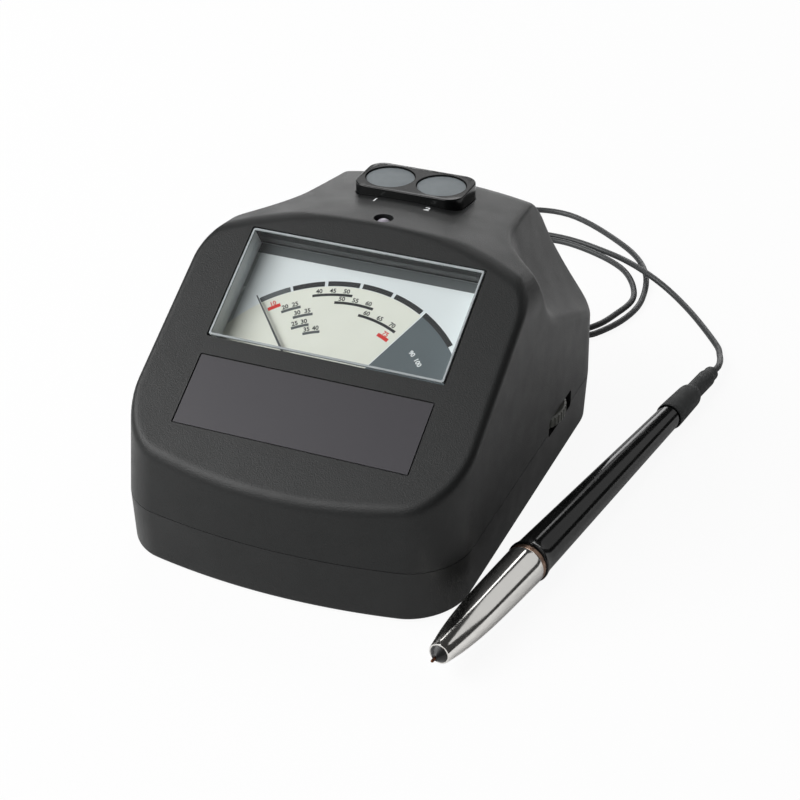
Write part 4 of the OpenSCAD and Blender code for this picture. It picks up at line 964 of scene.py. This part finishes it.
# case screws: one cross-recessed screw, set at each post by a node tree
screwForm = {
    "spots": ((-46.2, -50), (46.2, -50), (-41.8, 62), (41.8, 62)), "seat": 7.95, "headSides": 48, "shankSides": 32,
    "sizes": {"headDiameter": 5.6, "headHeight": 2.2, "shankDiameter": 3.0, "shankLength": 20.0,
              "recessWidth": 0.9, "recessLength": 3.2, "recessDepth": 1.2}}


def screwTree():
    tree = bpy.data.node_groups.new("screwSetter", "GeometryNodeTree")
    tree.interface.new_socket("Geometry", in_out="INPUT", socket_type="NodeSocketGeometry")
    for name, size in screwForm["sizes"].items():
        socket = tree.interface.new_socket(name, in_out="INPUT", socket_type="NodeSocketFloat")
        socket.default_value = size * mm
    tree.interface.new_socket("Geometry", in_out="OUTPUT", socket_type="NodeSocketGeometry")
    given = addNode(tree, "NodeGroupInput").outputs

    def scaled(value, factor):
        return addNode(tree, "ShaderNodeMath", {0: value, 1: factor}, operation="MULTIPLY").outputs[0]

    def along(z):
        return addNode(tree, "ShaderNodeCombineXYZ", {"Z": z}).outputs[0]

    def moved(geometry, z):
        return addNode(tree, "GeometryNodeTransform", {"Geometry": geometry, "Translation": along(z)}).outputs[0]

    head = addNode(tree, "GeometryNodeMeshCylinder", {
        "Vertices": screwForm["headSides"], "Radius": scaled(given["headDiameter"], 0.5),
        "Depth": given["headHeight"]})
    head = moved(head.outputs["Mesh"], scaled(given["headHeight"], -0.5))
    arms = []
    for first, second in (("recessWidth", "recessLength"), ("recessLength", "recessWidth")):
        size = addNode(tree, "ShaderNodeCombineXYZ", {
            "X": given[first], "Y": given[second], "Z": scaled(given["recessDepth"], 2)})
        arm = addNode(tree, "GeometryNodeMeshCube", {"Size": size.outputs[0]})
        arms.append(moved(arm.outputs["Mesh"], scaled(given["headHeight"], -1)))
    cut = addNode(tree, "GeometryNodeMeshBoolean", {"Mesh 1": head}, operation="DIFFERENCE", solver="EXACT")
    for arm in arms:
        tree.links.new(arm, cut.inputs["Mesh 2"])
    shank = addNode(tree, "GeometryNodeMeshCylinder", {
        "Vertices": screwForm["shankSides"], "Radius": scaled(given["shankDiameter"], 0.5),
        "Depth": given["shankLength"]})
    shank = moved(shank.outputs["Mesh"], scaled(given["shankLength"], 0.5))
    screw = addNode(tree, "GeometryNodeJoinGeometry")
    for part in (shank, cut.outputs["Mesh"]):
        tree.links.new(part, screw.inputs[0])
    placed = addNode(tree, "GeometryNodeInstanceOnPoints", {
        "Points": given["Geometry"], "Instance": screw.outputs[0]})
    solid = addNode(tree, "GeometryNodeRealizeInstances", {"Geometry": placed.outputs[0]})
    painted = addNode(tree, "GeometryNodeSetMaterial", {"Geometry": solid.outputs[0], "Material": zincSteel})
    addNode(tree, "NodeGroupOutput", {"Geometry": painted.outputs[0]})
    return tree


def screwMesh():
    points = meshOf("screwSpots", [(x, y, screwForm["seat"]) for x, y in screwForm["spots"]], [])
    item = addObject("screwSpots", points)
    setter = item.modifiers.new("screws", "NODES")
    tree = screwTree()
    setter.node_group = tree
    for socket in tree.interface.items_tree:
        if socket.in_out == "INPUT" and socket.name in screwForm["sizes"]:
            setter[socket.identifier] = screwForm["sizes"][socket.name] * mm
    mesh = evaluatedMesh(item)
    item.modifiers.clear()
    bpy.data.objects.remove(item)
    return mesh


screwPiece = finishPiece("caseScrews", screwMesh(), "housing", zincSteel, smooth=35)
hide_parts("case_screws")
print("screws set with", len(screwPiece.data.polygons), "faces")


# studio: pale floor, soft light from the left and behind, a white surround for the eye
# each box has its place and its two sides in metres, and its power in watts
studio = {
    "floor": "#f0f0f0", "floorReach": 4000, "floorDrop": 0.0001, "cameraGlow": 0.93, "glossGlow": 0.14,
    "ambient": 0.04, "aim": (0.01, 0.02, 0.03),
    "boxes": {
        "left": (-1.0, -0.37, 0.9, 0.7, 0.7, 11.3), "front": (-0.6, -1.08, 1.2, 0.8, 0.8, 12.5),
        "frontLeft": (-0.85, -1.0, 0.55, 0.6, 0.5, 2.4), "above": (-0.45, -0.15, 1.3, 0.6, 0.6, 1.15),
        "rearLeft": (-0.4, 0.9, 0.95, 0.8, 0.5, 2.8), "rearLow": (-0.3, 1.5, 0.33, 1.6, 0.35, 5.2),
        "rearRight": (0.72, 0.81, 0.73, 1.0, 1.0, 1.9), "rearTop": (-0.43, 1.03, 0.7, 0.6, 0.4, 0.6)}}


def addSoftbox(name, x, y, z, width, height, power):
    data = bpy.data.lights.new(name, "AREA")
    data.shape = "RECTANGLE"
    data.size, data.size_y = width, height
    data.energy = power
    lamp = addObject(name, data)
    lamp.location = (x, y, z)
    ahead = Vector(studio["aim"]) - lamp.location
    lamp.rotation_euler = ahead.to_track_quat("-Z", "Y").to_euler()


for boxName, box in studio["boxes"].items():
    addSoftbox(boxName + "Softbox", *box)


def lightWorld():
    world = bpy.data.worlds.new("studioWorld")
    scene.world = world
    world.use_nodes = True
    tree = world.node_tree
    tree.nodes.clear()
    path = addNode(tree, "ShaderNodeLightPath")
    seen = addNode(tree, "ShaderNodeMath", {
        0: path.outputs["Is Camera Ray"], 1: path.outputs["Is Transmission Ray"]}, operation="MAXIMUM")
    ambient = addNode(tree, "ShaderNodeBackground", {"Color": white, "Strength": studio["ambient"]})
    backdrop = addNode(tree, "ShaderNodeBackground", {"Color": white, "Strength": studio["cameraGlow"]})
    mixed = addNode(tree, "ShaderNodeMixShader", {
        "Fac": seen.outputs[0], 1: ambient.outputs[0], 2: backdrop.outputs[0]})
    addNode(tree, "ShaderNodeOutputWorld", {"Surface": mixed.outputs[0]})


def floorMaterial():
    material, tree = startMaterial("paperFloor")
    path = addNode(tree, "ShaderNodeLightPath")
    paper = addNode(tree, "ShaderNodeBsdfDiffuse", {"Color": tint(studio["floor"])})
    glow = addNode(tree, "ShaderNodeEmission", {"Color": white, "Strength": 1})
    seen = addNode(tree, "ShaderNodeMath", {
        0: path.outputs["Is Camera Ray"], 1: studio["cameraGlow"]}, operation="MULTIPLY")
    gloss = addNode(tree, "ShaderNodeMath", {
        0: path.outputs["Is Glossy Ray"], 1: studio["glossGlow"]}, operation="MULTIPLY")
    part = addNode(tree, "ShaderNodeMath", {0: seen.outputs[0], 1: gloss.outputs[0]}, operation="MAXIMUM")
    mixed = addNode(tree, "ShaderNodeMixShader", {"Fac": part.outputs[0], 1: paper.outputs[0], 2: glow.outputs[0]})
    return closeMaterial(material, tree, mixed)


def layFloor():
    reach = studio["floorReach"]
    corners = [(-reach, -reach, 0), (reach, -reach, 0), (reach, reach, 0), (-reach, reach, 0)]
    mesh = meshOf("studioFloor", corners, [(0, 1, 2, 3)])
    mesh.materials.append(floorMaterial())
    floor = addObject("studioFloor", mesh)
    floor.location.z = -studio["floorDrop"]


lightWorld()
layFloor()
print("studio lit")
